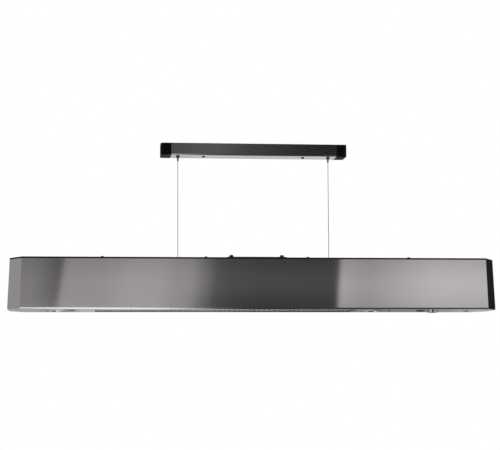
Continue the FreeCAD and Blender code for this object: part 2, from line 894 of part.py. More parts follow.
# ---------------------------------------------------------------- housing
def make_housing_shell():
    """Drafted wall of four flat panels and four slanted corners, with a return ring at its top and foot."""
    wall = drafted_block(shell_foot, shell_top)
    core = drafted_block(shell_foot - over, shell_top + over, housing_sheet)
    gland_hole = gland_thread_diameter / 2 + hole_fit
    wall = wall.cut(core).cut(gland_rod(gland_hole, -gland_inner_length, gland_flange_length))
    corner_x, corner_y = housing_corner_line(draft_at(shell_top))
    bands_x = ((left_end, -corner_x), (-corner_x, corner_x), (corner_x, right_end))
    bands_y = (
        (-panel_half_depth, -corner_y),
        (-corner_y, corner_y),
        (corner_y, panel_half_depth),
    )
    pieces = []
    for x0, x1 in bands_x:
        for y0, y1 in bands_y:
            piece = wall.common(block(x0, x1, y0, y1, shell_foot, shell_top))
            pieces += piece.Solids
    foot_holes = [
        rod(small_screw_diameter / 2 + running_fit, x, y, shell_foot - over, flange_top + over)
        for x, y in panel_screw_places
    ]
    top_holes = [
        rod(
            top_screw_shank_diameter / 2 + running_fit,
            x,
            y,
            hanger_top - over,
            shell_top + over,
        )
        for x, y in top_screw_places
    ]
    returns = ((shell_foot, flange_top, foot_holes), (hanger_top, shell_top, top_holes))
    for low, high, holes in returns:
        ring_plate = drafted_block(low, high, housing_sheet)
        mouth = drafted_block(low - over, high + over, housing_sheet + housing_return)
        pieces.append(cut_all(ring_plate.cut(mouth), holes))
    return pieces


def make_top_cover():
    outline = Part.Face(housing_outline(shell_top))
    plate = outline.extrude(Vector(0, 0, top_cover_thickness))
    rim = [e for e in plate.Edges if e.BoundBox.ZMin > housing_height - 0.01]
    plate = plate.makeFillet(top_cover_edge_radius, rim)
    tools = [slot(x, piece_gap, shell_top - over, housing_height + over) for x in wire_places]
    tools += [
        rod(top_screw_shank_diameter / 2 + screw_fit, x, y, shell_top - over, housing_height + over)
        for x, y in top_screw_places
    ]
    tools += [
        rod(junction_bolt_diameter / 2 + running_fit, x, y, shell_top - over, housing_height + over)
        for x, y in junction_bolt_places
    ]
    tools.append(
        block(
            -junction_opening_width / 2,
            junction_opening_width / 2,
            -junction_opening_depth / 2,
            junction_opening_depth / 2,
            shell_top - over,
            housing_height + over,
        )
    )
    return cut_all(plate, tools)


def make_top_screw(x, y):
    high = housing_height + top_screw_head_height
    head = rod(top_screw_head_diameter / 2, x, y, housing_height, high)
    rim = [e for e in head.Edges if e.BoundBox.ZMin > housing_height + 0.01]
    head = head.makeFillet(top_screw_crown_radius, rim)
    shank = rod(top_screw_shank_diameter / 2, x, y, hanger_top - screw_tail, housing_height)
    recess = hexagon(drive_recess_across_flats, x, y, high - drive_recess_depth, high)
    return head.fuse(shank).cut(recess)


def make_junction_cover():
    top = housing_height + junction_thickness
    outline = rounded_outline(
        junction_width / 2, junction_depth / 2, junction_corner_radius, housing_height
    )
    plate = Part.Face(outline).extrude(Vector(0, 0, junction_thickness))
    rim = [e for e in plate.Edges if e.BoundBox.ZMin > top - 0.01]
    plate = plate.makeFillet(junction_edge_radius, rim)
    tools = [
        rod(junction_bolt_diameter / 2 + screw_fit, x, y, housing_height - over, top + over)
        for x, y in junction_bolt_places
    ]
    return cut_all(plate, tools)


def make_junction_bolt(x, y):
    seat = housing_height + junction_thickness
    collar_top = seat + junction_bolt_flange_height
    collar = rod(junction_bolt_flange_diameter / 2, x, y, seat, collar_top)
    head = hexagon(
        junction_bolt_across_flats, x, y, collar_top, seat + junction_bolt_head_height
    )
    shank = rod(junction_bolt_diameter / 2, x, y, shell_top - screw_tail, seat)
    return collar.fuse(head).fuse(shank)


def make_bottom_panel():
    """Shallow tray, bent up all round at one wall thickness into a low rim that carries the shell's foot."""
    tray = drafted_block(0, panel_rim_height)
    edge = [e for e in tray.Edges if e.BoundBox.ZMax < 0.01]
    tray = tray.makeFillet(panel_edge_radius, edge)
    hollow = drafted_block(panel_sheet, panel_rim_height + over, housing_sheet)
    floor_edge = [e for e in hollow.Edges if e.BoundBox.ZMax < panel_sheet + 0.01]
    tray = tray.cut(hollow.makeFillet(panel_edge_radius - panel_sheet, floor_edge))
    seam_low = panel_rim_height - panel_seam_height
    seam = drafted_block(seam_low, panel_rim_height + over, -over)
    tray = tray.cut(seam.cut(drafted_block(seam_low, panel_rim_height + over, panel_seam_depth)))
    floor_top = panel_sheet + over
    tools = [countersunk_hole(x, y) for x, y in panel_screw_places + guard_screw_places]
    tools.append(
        block(guard_left, guard_right, -guard_half_depth, guard_half_depth, -1, floor_top)
    )
    can_hole = downlight_can_diameter / 2 + hole_fit
    tools += [rod(can_hole, x, 0, -1, floor_top) for x in downlight_places]
    tools.append(rod(cup_diameter / 2 + hole_fit, knob_x, 0, -1, floor_top))
    tools.append(rod(switch_barrel_diameter / 2 + hole_fit, button_x, 0, -1, floor_top))
    tools.append(rod(pilot_barrel_diameter / 2 + hole_fit, pilot_x, 0, -1, floor_top))
    return cut_all(tray, tools)


def gland_frame(shape):
    """Moves a piece drawn along +Z from the wall's outer face to the rear wall's slope."""
    shape = shape.copy()
    shape.rotate(Vector(0, 0, 0), Vector(1, 0, 0), -90 + gland_lean)
    return shape.translated(Vector(gland_x, gland_y, gland_height))


def gland_rod(radius, low, high):
    return gland_frame(rod(radius, 0, 0, low, high))


save_lamp("housing_shell", make_housing_shell())
save_lamp("top_cover", [make_top_cover()])
save_lamp("top_cover_screws", [make_top_screw(x, y) for x, y in top_screw_places])
save_lamp("junction_cover", [make_junction_cover()])
save_lamp("junction_bolts", [make_junction_bolt(x, y) for x, y in junction_bolt_places])
save_lamp("bottom_panel", [make_bottom_panel()])
save_lamp(
    "bottom_panel_screws",
    [countersunk_screw(x, y, flange_top + screw_tail) for x, y in panel_screw_places],
)


# ---------------------------------------------------------------- infrared zone
def make_guard():
    """Guard of welded wires: a row across, and rails laid along its top."""
    radius = guard_wire_diameter / 2
    count = int((guard_length - guard_wire_pitch) / guard_wire_pitch)
    first = guard_mid - (count - 1) / 2 * guard_wire_pitch
    reach = guard_half_depth + guard_wire_seat
    low_z = panel_sheet + radius
    high_z = guard_layer + radius
    wires = [
        rod_y(radius, first + i * guard_wire_pitch, -reach, reach, low_z) for i in range(count)
    ]
    rail_pitch = 2 * guard_half_depth / guard_rail_count
    rails = [
        rod_x(
            radius, guard_left, guard_right, (i - (guard_rail_count - 1) / 2) * rail_pitch, high_z
        )
        for i in range(guard_rail_count)
    ]
    return wires + rails


def make_guard_frame():
    """Clamping frame that holds the guard's wires down on the bottom panel."""
    outer = block(
        guard_left - guard_frame_width,
        guard_right + guard_frame_right_width,
        -guard_half_depth - guard_frame_width,
        guard_half_depth + guard_frame_width,
        panel_sheet,
        guard_frame_top,
    )
    inner = block(
        guard_left,
        guard_right,
        -guard_half_depth,
        guard_half_depth,
        panel_sheet - over,
        guard_frame_top + over,
    )
    wire_room = guard_half_depth + guard_wire_seat + hole_fit
    ledge = block(
        guard_left, guard_right, -wire_room, wire_room, panel_sheet - over, guard_layer
    )
    tools = [
        rod(small_screw_diameter / 2 + running_fit, x, y, panel_sheet - over, guard_frame_top + over)
        for x, y in guard_screw_places
    ]
    return cut_all(outer, [inner, ledge] + tools)


def trough_face(x, half_mouth, half_roof, foot, roof):
    points = [(-half_mouth, foot), (-half_roof, roof), (half_roof, roof), (half_mouth, foot)]
    corners = [Vector(x, y, z) for y, z in points]
    return Part.Face(Part.makePolygon(corners + corners[:1]))


def make_reflector():
    """Folded trough: sloping sides, flat roof and a foot flange along each side."""
    half_roof = reflector_roof_width / 2
    length = Vector(guard_length, 0, 0)
    outer = trough_face(
        guard_left, reflector_half_mouth, half_roof, reflector_foot, reflector_roof
    ).extrude(length)
    inner = trough_face(
        guard_left - over,
        reflector_half_mouth - reflector_sheet,
        half_roof - reflector_sheet,
        reflector_foot,
        reflector_roof - reflector_sheet,
    ).extrude(length + Vector(2, 0, 0))
    flange = block(
        guard_left,
        guard_right,
        -reflector_half_mouth - reflector_flange,
        reflector_half_mouth + reflector_flange,
        reflector_foot,
        reflector_foot + reflector_sheet,
    )
    trough = outer.fuse(flange).cut(inner)
    tools = [
        rod(
            small_screw_diameter / 2 + screw_fit,
            x,
            y,
            reflector_foot - over,
            reflector_foot + reflector_sheet + over,
        )
        for x, y in guard_screw_places
    ]
    return cut_all(trough, tools)


def make_reflector_end(x):
    """Flat plate that closes the trough, with holes for the lamps' leads."""
    face = trough_face(
        x, reflector_half_mouth, reflector_roof_width / 2, reflector_foot, reflector_roof
    )
    plate = face.extrude(Vector(reflector_sheet, 0, 0))
    far = x + reflector_sheet
    holes = [rod_x(lamp_lead_hole / 2, x - over, far + over, y, lamp_tube_height) for y in lamp_rows]
    return cut_all(plate, holes)


def make_holder(end_x, inward, y):
    """Ceramic holder on the end plate: the lamp's cap sits in its mouth."""
    far = end_x + inward * holder_length
    body = block(
        min(end_x, far),
        max(end_x, far),
        y - holder_width / 2,
        y + holder_width / 2,
        lamp_tube_height - holder_height / 2,
        lamp_tube_height + holder_height / 2 - holder_seat,
    )
    mouth = far - inward * (lamp_end_grip + piece_gap)
    socket = rod_x(
        lamp_end_diameter / 2 + hole_fit, min(mouth, far), max(mouth, far), y, lamp_tube_height
    )
    lead = rod_x(lamp_lead_hole / 2, min(end_x, far), max(end_x, far), y, lamp_tube_height)
    return body.cut(socket).cut(lead)


def make_lamp_end(end_x, inward, y):
    start = end_x + inward * (holder_length - lamp_end_grip)
    far = start + inward * lamp_end_length
    return rod_x(lamp_end_diameter / 2, min(start, far), max(start, far), y, lamp_tube_height)


def make_tube(y):
    start = guard_left + tube_inset
    end = guard_right - tube_inset
    outer = rod_x(lamp_tube_diameter / 2, start, end, y, lamp_tube_height)
    return outer.cut(
        rod_x(lamp_tube_diameter / 2 - lamp_tube_wall, start - over, end + over, y, lamp_tube_height)
    )


def make_filament(y):
    start = guard_left + tube_inset
    end = guard_right - tube_inset
    return rod_x(filament_diameter / 2, start, end, y, lamp_tube_height)


def make_heat_shield():
    """Hood over the reflector, standing on the shell's foot return."""
    half = shield_half + shield_sheet
    outer = block(guard_left, guard_right, -half, half, flange_top, shield_top)
    inner = block(
        guard_left - over,
        guard_right + over,
        -shield_half,
        shield_half,
        flange_top - over,
        shield_top - shield_sheet,
    )
    wall_inside = housing_depth / 2 - draft_at(flange_top) - housing_sheet
    reach = wall_inside - shield_foot_gap
    foot = block(guard_left, guard_right, -reach, reach, flange_top, flange_top + shield_sheet)
    hood = outer.fuse(foot).cut(inner)
    tools = [
        rod(
            small_screw_diameter / 2 + hole_fit,
            x,
            y,
            flange_top - over,
            flange_top + shield_sheet + over,
        )
        for x, y in panel_screw_places
    ]
    return cut_all(hood, tools)


save_lamp("guard_wires", make_guard())
save_lamp("guard_frame", [make_guard_frame()])
save_lamp(
    "guard_screws",
    [
        countersunk_screw(x, y, reflector_foot + reflector_sheet + screw_tail)
        for x, y in guard_screw_places
    ],
)
save_lamp("reflector", [make_reflector()])
save_lamp(
    "reflector_ends",
    [make_reflector_end(x) for x in (guard_left - reflector_sheet, guard_right)],
)
save_lamp("lamp_holders", [make_holder(x, way, y) for x, way, y in lamp_end_places])
save_lamp("lamp_ends", [make_lamp_end(x, way, y) for x, way, y in lamp_end_places])
save_lamp("infrared_tubes", [make_tube(y) for y in lamp_rows])
save_lamp("infrared_filaments", [make_filament(y) for y in lamp_rows])
save_lamp("heat_shield", [make_heat_shield()])


# ---------------------------------------------------------------- downlights
def make_bezel(x):
    """Trim ring: a thin flange under the panel and a collar that holds the lens."""
    flange = rod(bezel_diameter / 2, x, 0, -bezel_thickness, 0)
    collar = rod(can_radius, x, 0, 0, downlight_collar_height)
    body = flange.fuse(collar).removeSplitter()
    rim = [
        e
        for e in body.Edges
        if abs(e.BoundBox.ZMax + bezel_thickness) < 0.01 and e.BoundBox.XLength > bezel_diameter - over
    ]
    body = body.makeFillet(bezel_edge_radius, rim)
    mouth_radius = bezel_mouth_diameter / 2
    mouth = taper(mouth_radius + bezel_mouth_flare, mouth_radius, x, 0, -bezel_thickness, lens_low)
    rebate = rod(downlight_lens_diameter / 2 + hole_fit, x, 0, lens_low, downlight_collar_height + over)
    return body.cut(mouth).cut(rebate)


def make_lens(x):
    return rod(downlight_lens_diameter / 2, x, 0, lens_low, lens_high)


def make_can(x):
    """Finned cast can that closes the downlight and cools its light board."""
    low = downlight_collar_height
    high = low + downlight_can_height
    body = rod(can_radius, x, 0, low, high)
    body = body.cut(rod(can_inner, x, 0, low - over, low + led_room))
    fin_pitch = 2 * can_radius / can_fin_count
    slots = [
        block(
            x + (i - can_fin_count / 2 + 0.25) * fin_pitch,
            x + (i - can_fin_count / 2 + 0.75) * fin_pitch,
            -can_radius - over,
            can_radius + over,
            low + led_room + can_roof,
            high + over,
        )
        for i in range(can_fin_count)
    ]
    return cut_all(body, slots)


def make_led_board(x):
    high = downlight_collar_height + led_room
    return rod(led_board_diameter / 2, x, 0, high - led_board_thickness, high)


save_lamp("downlight_bezels", [make_bezel(x) for x in downlight_places])
save_lamp("downlight_lenses", [make_lens(x) for x in downlight_places])
save_lamp("downlight_cans", [make_can(x) for x in downlight_places])
save_lamp("downlight_boards", [make_led_board(x) for x in downlight_places])


# ---------------------------------------------------------------- controls
def make_knob_cup():
    """Recess that keeps the knob clear of passing trays."""
    outer = rod(cup_diameter / 2, knob_x, 0, 0, cup_floor)
    flange = rod(cup_flange_diameter / 2, knob_x, 0, -cup_flange_thickness, 0)
    inner = rod(cup_diameter / 2 - cup_wall, knob_x, 0, -cup_flange_thickness - over, cup_depth)
    hole = rod(regulator_bush_diameter / 2 + screw_fit, knob_x, 0, cup_depth - over, cup_floor + over)
    return outer.fuse(flange).removeSplitter().cut(inner).cut(hole)


def make_knob():
    """Fluted knob with a pointer groove in its face and a blind bore for the shaft."""
    low = -knob_proud
    high = low + knob_height
    body = rod(knob_diameter / 2, knob_x, 0, low, high)
    rim = [e for e in body.Edges if abs(e.BoundBox.ZMax - low) < 0.01]
    body = body.makeFillet(knob_edge_radius, rim)
    flutes = []
    ring_radius = knob_diameter / 2 + knob_flute_bite
    for i in range(knob_flute_count):
        angle = 2 * math.pi * (i + 0.5) / knob_flute_count
        fx = knob_x + ring_radius * math.cos(angle)
        fy = ring_radius * math.sin(angle)
        flutes.append(rod(knob_flute_radius, fx, fy, low + knob_flute_start, high + over))
    body = cut_all(body, flutes)
    mark_end = knob_diameter / 2 - 2 * knob_edge_radius
    mark = block(
        knob_x - knob_mark_width / 2,
        knob_x + knob_mark_width / 2,
        mark_end - knob_mark_length,
        mark_end,
        low - over,
        low + knob_mark_depth,
    )
    bore = rod(shaft_radius + running_fit, knob_x, 0, shaft_low, high + over)
    return body.cut(mark).cut(bore)


def make_knob_shaft():
    """D shaft that turns with the knob."""
    shaft = rod(shaft_radius, knob_x, 0, shaft_low + running_fit, shaft_top)
    flat = block(
        knob_x - shaft_radius,
        knob_x + shaft_radius,
        knob_shaft_flat,
        shaft_radius + over,
        shaft_low - over,
        knob_height - knob_proud,
    )
    return shaft.cut(flat)


def make_regulator():
    """Phase regulator with its threaded bush."""
    top = regulator_low + regulator_height
    body = block(
        knob_x - regulator_width / 2,
        knob_x + regulator_width / 2,
        -regulator_depth / 2,
        regulator_depth / 2,
        regulator_low,
        top,
    )
    bush = rod(regulator_bush_diameter / 2, knob_x, 0, regulator_bush_low, regulator_low)
    bore = rod(shaft_radius + running_fit, knob_x, 0, regulator_bush_low - over, shaft_top + piece_gap)
    return body.fuse(bush).cut(bore)


def make_regulator_nut():
    low = cup_depth - regulator_nut_height
    nut = hexagon(regulator_nut_across_flats, knob_x, 0, low, cup_depth)
    return nut.cut(rod(regulator_bush_diameter / 2 + running_fit, knob_x, 0, low - over, cup_depth + over))


def make_switch_body():
    """Push switch: a bezel, a threaded barrel and the contact block above it."""
    bezel = rod(switch_bezel_diameter / 2, button_x, 0, -switch_bezel_thickness, 0)
    barrel = rod(switch_barrel_diameter / 2, button_x, 0, 0, switch_height)
    body = bezel.fuse(barrel).removeSplitter()
    return body.cut(
        rod(switch_bore, button_x, 0, -switch_bezel_thickness - over, switch_bore_top)
    )


def make_button():
    low = -switch_bezel_thickness - button_proud
    body = rod(button_diameter / 2, button_x, 0, low, button_height)
    rim = [e for e in body.Edges if abs(e.BoundBox.ZMax - low) < 0.01]
    return body.makeFillet(button_edge_radius, rim)


def make_switch_nut():
    high = panel_sheet + switch_nut_height
    nut = hexagon(switch_nut_across_flats, button_x, 0, panel_sheet, high)
    return nut.cut(rod(switch_barrel_diameter / 2 + running_fit, button_x, 0, 0, high + over))


def make_pilot_body():
    bezel = rod(pilot_bezel_diameter / 2, pilot_x, 0, -pilot_bezel_thickness, 0)
    barrel = rod(pilot_barrel_diameter / 2, pilot_x, 0, 0, pilot_height)
    body = bezel.fuse(barrel).removeSplitter()
    lens_hole = rod(
        pilot_lens_diameter / 2 + running_fit,
        pilot_x,
        0,
        -pilot_bezel_thickness - over,
        pilot_lens_seat + piece_gap,
    )
    return body.cut(lens_hole)


def make_pilot_lens():
    """Domed lens, set in the pilot lamp's bezel."""
    rim_z = -pilot_bezel_thickness
    radius = pilot_lens_diameter / 2
    sphere_radius = (radius**2 + pilot_lens_dome**2) / (2 * pilot_lens_dome)
    sphere = Part.makeSphere(
        sphere_radius, Vector(pilot_x, 0, rim_z + sphere_radius - pilot_lens_dome)
    )
    column = rod(radius, pilot_x, 0, rim_z - pilot_lens_dome - over, pilot_lens_seat)
    return sphere.common(column)


def make_driver():
    """Power supply for the downlights, on the bottom panel."""
    return block(
        driver_x,
        driver_x + driver_length,
        -driver_depth / 2,
        driver_depth / 2,
        panel_sheet,
        panel_sheet + driver_height,
    )


def make_terminal_block():
    body = block(
        terminal_x - terminal_length / 2,
        terminal_x + terminal_length / 2,
        terminal_offset - terminal_depth / 2,
        terminal_offset + terminal_depth / 2,
        panel_sheet,
        panel_sheet + terminal_height,
    )
    pitch = terminal_length / terminal_ways
    top = panel_sheet + terminal_height
    wells = [
        rod(
            terminal_well_diameter / 2,
            terminal_x + (i - (terminal_ways - 1) / 2) * pitch,
            terminal_offset + side * terminal_well_spacing / 2,
            top - terminal_well_depth,
            top + over,
        )
        for i in range(terminal_ways)
        for side in (-1, 1)
    ]
    return cut_all(body, wells)


def make_earth_stud():
    x = right_end - earth_stud_inset
    y = -earth_stud_offset
    stud = rod(earth_stud_diameter / 2, x, y, panel_sheet, panel_sheet + earth_stud_height)
    nut_low = panel_sheet + earth_nut_seat
    washer = rod(earth_stud_diameter, x, y, nut_low - earth_washer_thickness, nut_low)
    nut = hexagon(earth_nut_across_flats, x, y, nut_low, nut_low + earth_nut_height)
    return stud.fuse(washer).fuse(nut).removeSplitter()


def make_baffle(x):
    """Upright heat barrier across the housing."""
    half = housing_depth / 2 - draft_at(flange_top) - housing_sheet - housing_return - piece_gap
    plate = block(x, x + baffle_thickness, -half, half, panel_sheet, shell_top - baffle_top_gap)
    notch_half = loom_diameter / 2 + piece_gap
    notch = block(
        x - over,
        x + baffle_thickness + over,
        loom_offset - notch_half,
        half + over,
        loom_height - notch_half,
        loom_height + notch_half,
    )
    return plate.cut(notch)


save_lamp("knob_cup", [make_knob_cup()])
save_lamp("control_knob", [make_knob()])
save_lamp("knob_shaft", [make_knob_shaft()])
save_lamp("regulator", [make_regulator()])
save_lamp("regulator_nut", [make_regulator_nut()])
save_lamp("power_switch", [make_switch_body()])
save_lamp("power_button", [make_button()])
save_lamp("power_switch_nut", [make_switch_nut()])
save_lamp("pilot_lamp", [make_pilot_body()])
save_lamp("pilot_lens", [make_pilot_lens()])
save_lamp("downlight_driver", [make_driver()])
save_lamp("terminal_block", [make_terminal_block()])
save_lamp("earth_stud", [make_earth_stud()])
save_lamp("heat_baffles", [make_baffle(baffle_left_x), make_baffle(baffle_right_x)])


# ---------------------------------------------------------------- cable gland
def make_gland_body():
    """Hexagon flange outside the wall and a thread through it."""
    thread = rod(gland_thread_diameter / 2, 0, 0, -gland_inner_length, 0)
    flange = hexagon(gland_flange_across_flats, 0, 0, 0, gland_flange_length)
    neck_end = gland_flange_length + gland_neck_length
    neck = rod(gland_neck_radius, 0, 0, gland_flange_length, neck_end)
    bore = rod(gland_seal_diameter / 2 + running_fit, 0, 0, -gland_inner_length - over, neck_end + over)
    body = thread.fuse(flange).fuse(neck).removeSplitter().cut(bore)
    return gland_frame(body)


def make_gland_cap():
    """Domed nut that squeezes the seal."""
    low = gland_flange_length + piece_gap
    high = low + gland_cap_length
    body = rod(gland_cap_radius, 0, 0, low, high)
    rim = [e for e in body.Edges if e.BoundBox.ZMin > high - 0.01]
    body = body.makeFillet(gland_cap_edge_radius, rim)
    hollow_end = gland_flange_length + gland_neck_length + 2 * piece_gap
    hollow = rod(gland_neck_radius + running_fit, 0, 0, low - over, hollow_end)
    bore = rod(gland_seal_bore_diameter / 2 + gland_mouth_gap, 0, 0, low, high + over)
    return gland_frame(body.cut(hollow).cut(bore))


def make_gland_seal():
    high = gland_flange_length + gland_neck_length
    low = high - gland_seal_length
    seal = ring(gland_seal_diameter / 2, gland_seal_bore_diameter / 2, 0, 0, low, high)
    return gland_frame(seal)


def make_gland_nut():
    low = -housing_sheet - gland_nut_thickness
    nut = hexagon(gland_flange_across_flats, 0, 0, low, -housing_sheet)
    return gland_frame(
        nut.cut(rod(gland_thread_diameter / 2 + running_fit, 0, 0, low - over, 0))
    )


def make_loom():
    """Sleeved wires from the terminal block over the hood to the left downlight."""
    start = Vector(terminal_x, terminal_offset, panel_sheet + terminal_height)
    rise = Vector(terminal_x, terminal_offset, loom_height)
    across = Vector(terminal_x - loom_run_in, loom_offset, loom_height)
    far = Vector(downlight_left_x, loom_offset, loom_height)
    over = Vector(downlight_left_x, 0, loom_height)
    end = Vector(downlight_left_x, 0, downlight_collar_height + downlight_can_height)
    return path_tube([start, rise, across, far, over, end], loom_bend_radius, loom_diameter / 2)


save_lamp("cable_gland", [make_gland_body()])
save_lamp("gland_cap", [make_gland_cap()])
save_lamp("gland_seal", [make_gland_seal()])
save_lamp("gland_nut", [make_gland_nut()])
save_lamp("wiring_loom", [make_loom()])
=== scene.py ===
import bmesh
import bpy
import math
from mathutils import Matrix, Vector


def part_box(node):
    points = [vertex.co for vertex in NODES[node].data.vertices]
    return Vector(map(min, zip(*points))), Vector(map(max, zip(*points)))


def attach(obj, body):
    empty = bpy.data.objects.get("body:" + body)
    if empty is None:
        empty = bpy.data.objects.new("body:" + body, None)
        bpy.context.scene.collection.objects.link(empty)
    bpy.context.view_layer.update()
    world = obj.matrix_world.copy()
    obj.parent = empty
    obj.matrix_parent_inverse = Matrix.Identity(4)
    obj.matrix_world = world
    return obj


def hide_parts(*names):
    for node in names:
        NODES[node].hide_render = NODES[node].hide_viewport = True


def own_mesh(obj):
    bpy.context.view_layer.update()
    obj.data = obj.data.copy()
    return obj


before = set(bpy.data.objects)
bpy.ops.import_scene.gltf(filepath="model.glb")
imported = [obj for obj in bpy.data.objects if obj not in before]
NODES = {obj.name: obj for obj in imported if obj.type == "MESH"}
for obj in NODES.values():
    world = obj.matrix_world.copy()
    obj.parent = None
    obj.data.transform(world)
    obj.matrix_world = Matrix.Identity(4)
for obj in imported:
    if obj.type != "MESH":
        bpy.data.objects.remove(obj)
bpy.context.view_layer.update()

MM = 0.001
UP = (0.0, 0.0, 1.0)
ALONG = (1.0, 0.0, 0.0)
SLOT_OF = {name: node.data.materials[0].name for name, node in NODES.items()}


class NodeTree:
    """The node tree of a material or of the world, built up one node at a time."""

    def __init__(self, owner):
        owner.use_nodes = True
        self.nodes = owner.node_tree.nodes
        self.links = owner.node_tree.links

    def node(self, kind, inputs=None, **settings):
        """A new node; each input, by name or number, gets a fixed value or another's output."""
        node = self.nodes.new(kind)
        for setting, value in settings.items():
            setattr(node, setting, value)
        for socket, value in (inputs or {}).items():
            if isinstance(value, (int, float, tuple)):
                node.inputs[socket].default_value = value
            else:
                self.links.new(value, node.inputs[socket])
        return node

    def math(self, operation, *values):
        return self.node("ShaderNodeMath", dict(enumerate(values)), operation=operation).outputs[0]

    def blend(self, fac, first, second):
        """A mix of two colours, each an output or its red, green and blue."""
        node = self.node("ShaderNodeMix", {"Factor": fac}, data_type="RGBA")
        sockets = [s for s in node.inputs if s.type == "RGBA"]
        for socket, value in zip(sockets, (first, second)):
            if isinstance(value, tuple):
                socket.default_value = (*value, 1.0)
            else:
                self.links.new(value, socket)
        return next(s for s in node.outputs if s.type == "RGBA")

    def mix_shaders(self, fac, first, second):
        inputs = {0: fac, 1: first.outputs[0], 2: second.outputs[0]}
        return self.node("ShaderNodeMixShader", inputs)

    def seen_directly(self):
        """1 for rays that see a background straight on, in a mirror or through glass, else 0."""
        rays = self.node("ShaderNodeLightPath").outputs
        mirrored = self.math("MAXIMUM", rays["Is Camera Ray"], rays["Is Glossy Ray"])
        return self.math("MAXIMUM", mirrored, rays["Is Transmission Ray"])


# ------------------------------------------------------------------ view, world and lamps

VIEW_PLACE = Vector((-0.3923, -3.6349, -0.5723))
VIEW_YAW = 0.1051
VIEW_PITCH = 0.1014
VIEW_ROLL = -0.0042
VIEW_LENS = 106.09
VIEW_SENSOR = 36.0
VIEW_NEAR = 0.05
VIEW_FAR = 60.0


def make_camera():
    data = bpy.data.cameras.new("view")
    data.sensor_width = VIEW_SENSOR
    data.lens = VIEW_LENS
    data.clip_start = VIEW_NEAR
    data.clip_end = VIEW_FAR
    camera = bpy.data.objects.new("view", data)
    bpy.context.scene.collection.objects.link(camera)
    turn = Matrix.Rotation(-VIEW_YAW, 4, "Z")
    tilt = Matrix.Rotation(math.pi / 2 + VIEW_PITCH, 4, "X")
    roll = Matrix.Rotation(VIEW_ROLL, 4, "Z")
    camera.matrix_world = Matrix.Translation(VIEW_PLACE) @ turn @ tilt @ roll
    bpy.context.scene.camera = camera


WORLD_TINT = (0.96, 0.98, 1.0, 1)
WORLD_LIGHT = 0.62
WHITE = (1, 1, 1, 1)


def make_world():
    """An even, cool light that is seen as plain white."""
    world = bpy.data.worlds.new("pale_studio")
    tree = NodeTree(world)
    world.cycles.sampling_method = "NONE"
    tree.nodes.clear()
    lit = tree.node("ShaderNodeBackground", {"Color": WORLD_TINT, "Strength": WORLD_LIGHT})
    seen = tree.node("ShaderNodeBackground", {"Color": WHITE, "Strength": 1.0})
    both = tree.mix_shaders(tree.seen_directly(), lit, seen)
    tree.node("ShaderNodeOutputWorld", {"Surface": both.outputs[0]})
    bpy.context.scene.world = world


LAMP_TARGET = Vector((0.0, 0.0, -0.3))
# name, place, width of the disk, power and tint
LAMPS = (
    ("key_lamp", (-2.6, -2.8, 2.2), 1.8, 62.0, (1.0, 0.985, 0.96)),
    ("fill_lamp", (3.0, -2.2, 0.6), 2.4, 30.0, (0.97, 0.985, 1.0)),
    ("back_lamp", (0.6, 3.2, 1.8), 2.2, 36.0, (1.0, 1.0, 1.0)),
)


def make_lamps():
    """Soft round lamps that light the object but show neither directly nor as a reflection."""
    for name, place, size, power, tint in LAMPS:
        data = bpy.data.lights.new(name, "AREA")
        data.shape = "DISK"
        data.size = size
        data.energy = power
        data.color = tint
        lamp = bpy.data.objects.new(name, data)
        bpy.context.scene.collection.objects.link(lamp)
        lamp.location = place
        lamp.rotation_mode = "QUATERNION"
        lamp.rotation_quaternion = (LAMP_TARGET - Vector(place)).to_track_quat("-Z", "Y")
        lamp.visible_glossy = False
        lamp.visible_camera = False


# ------------------------------------------------------------------ finishes


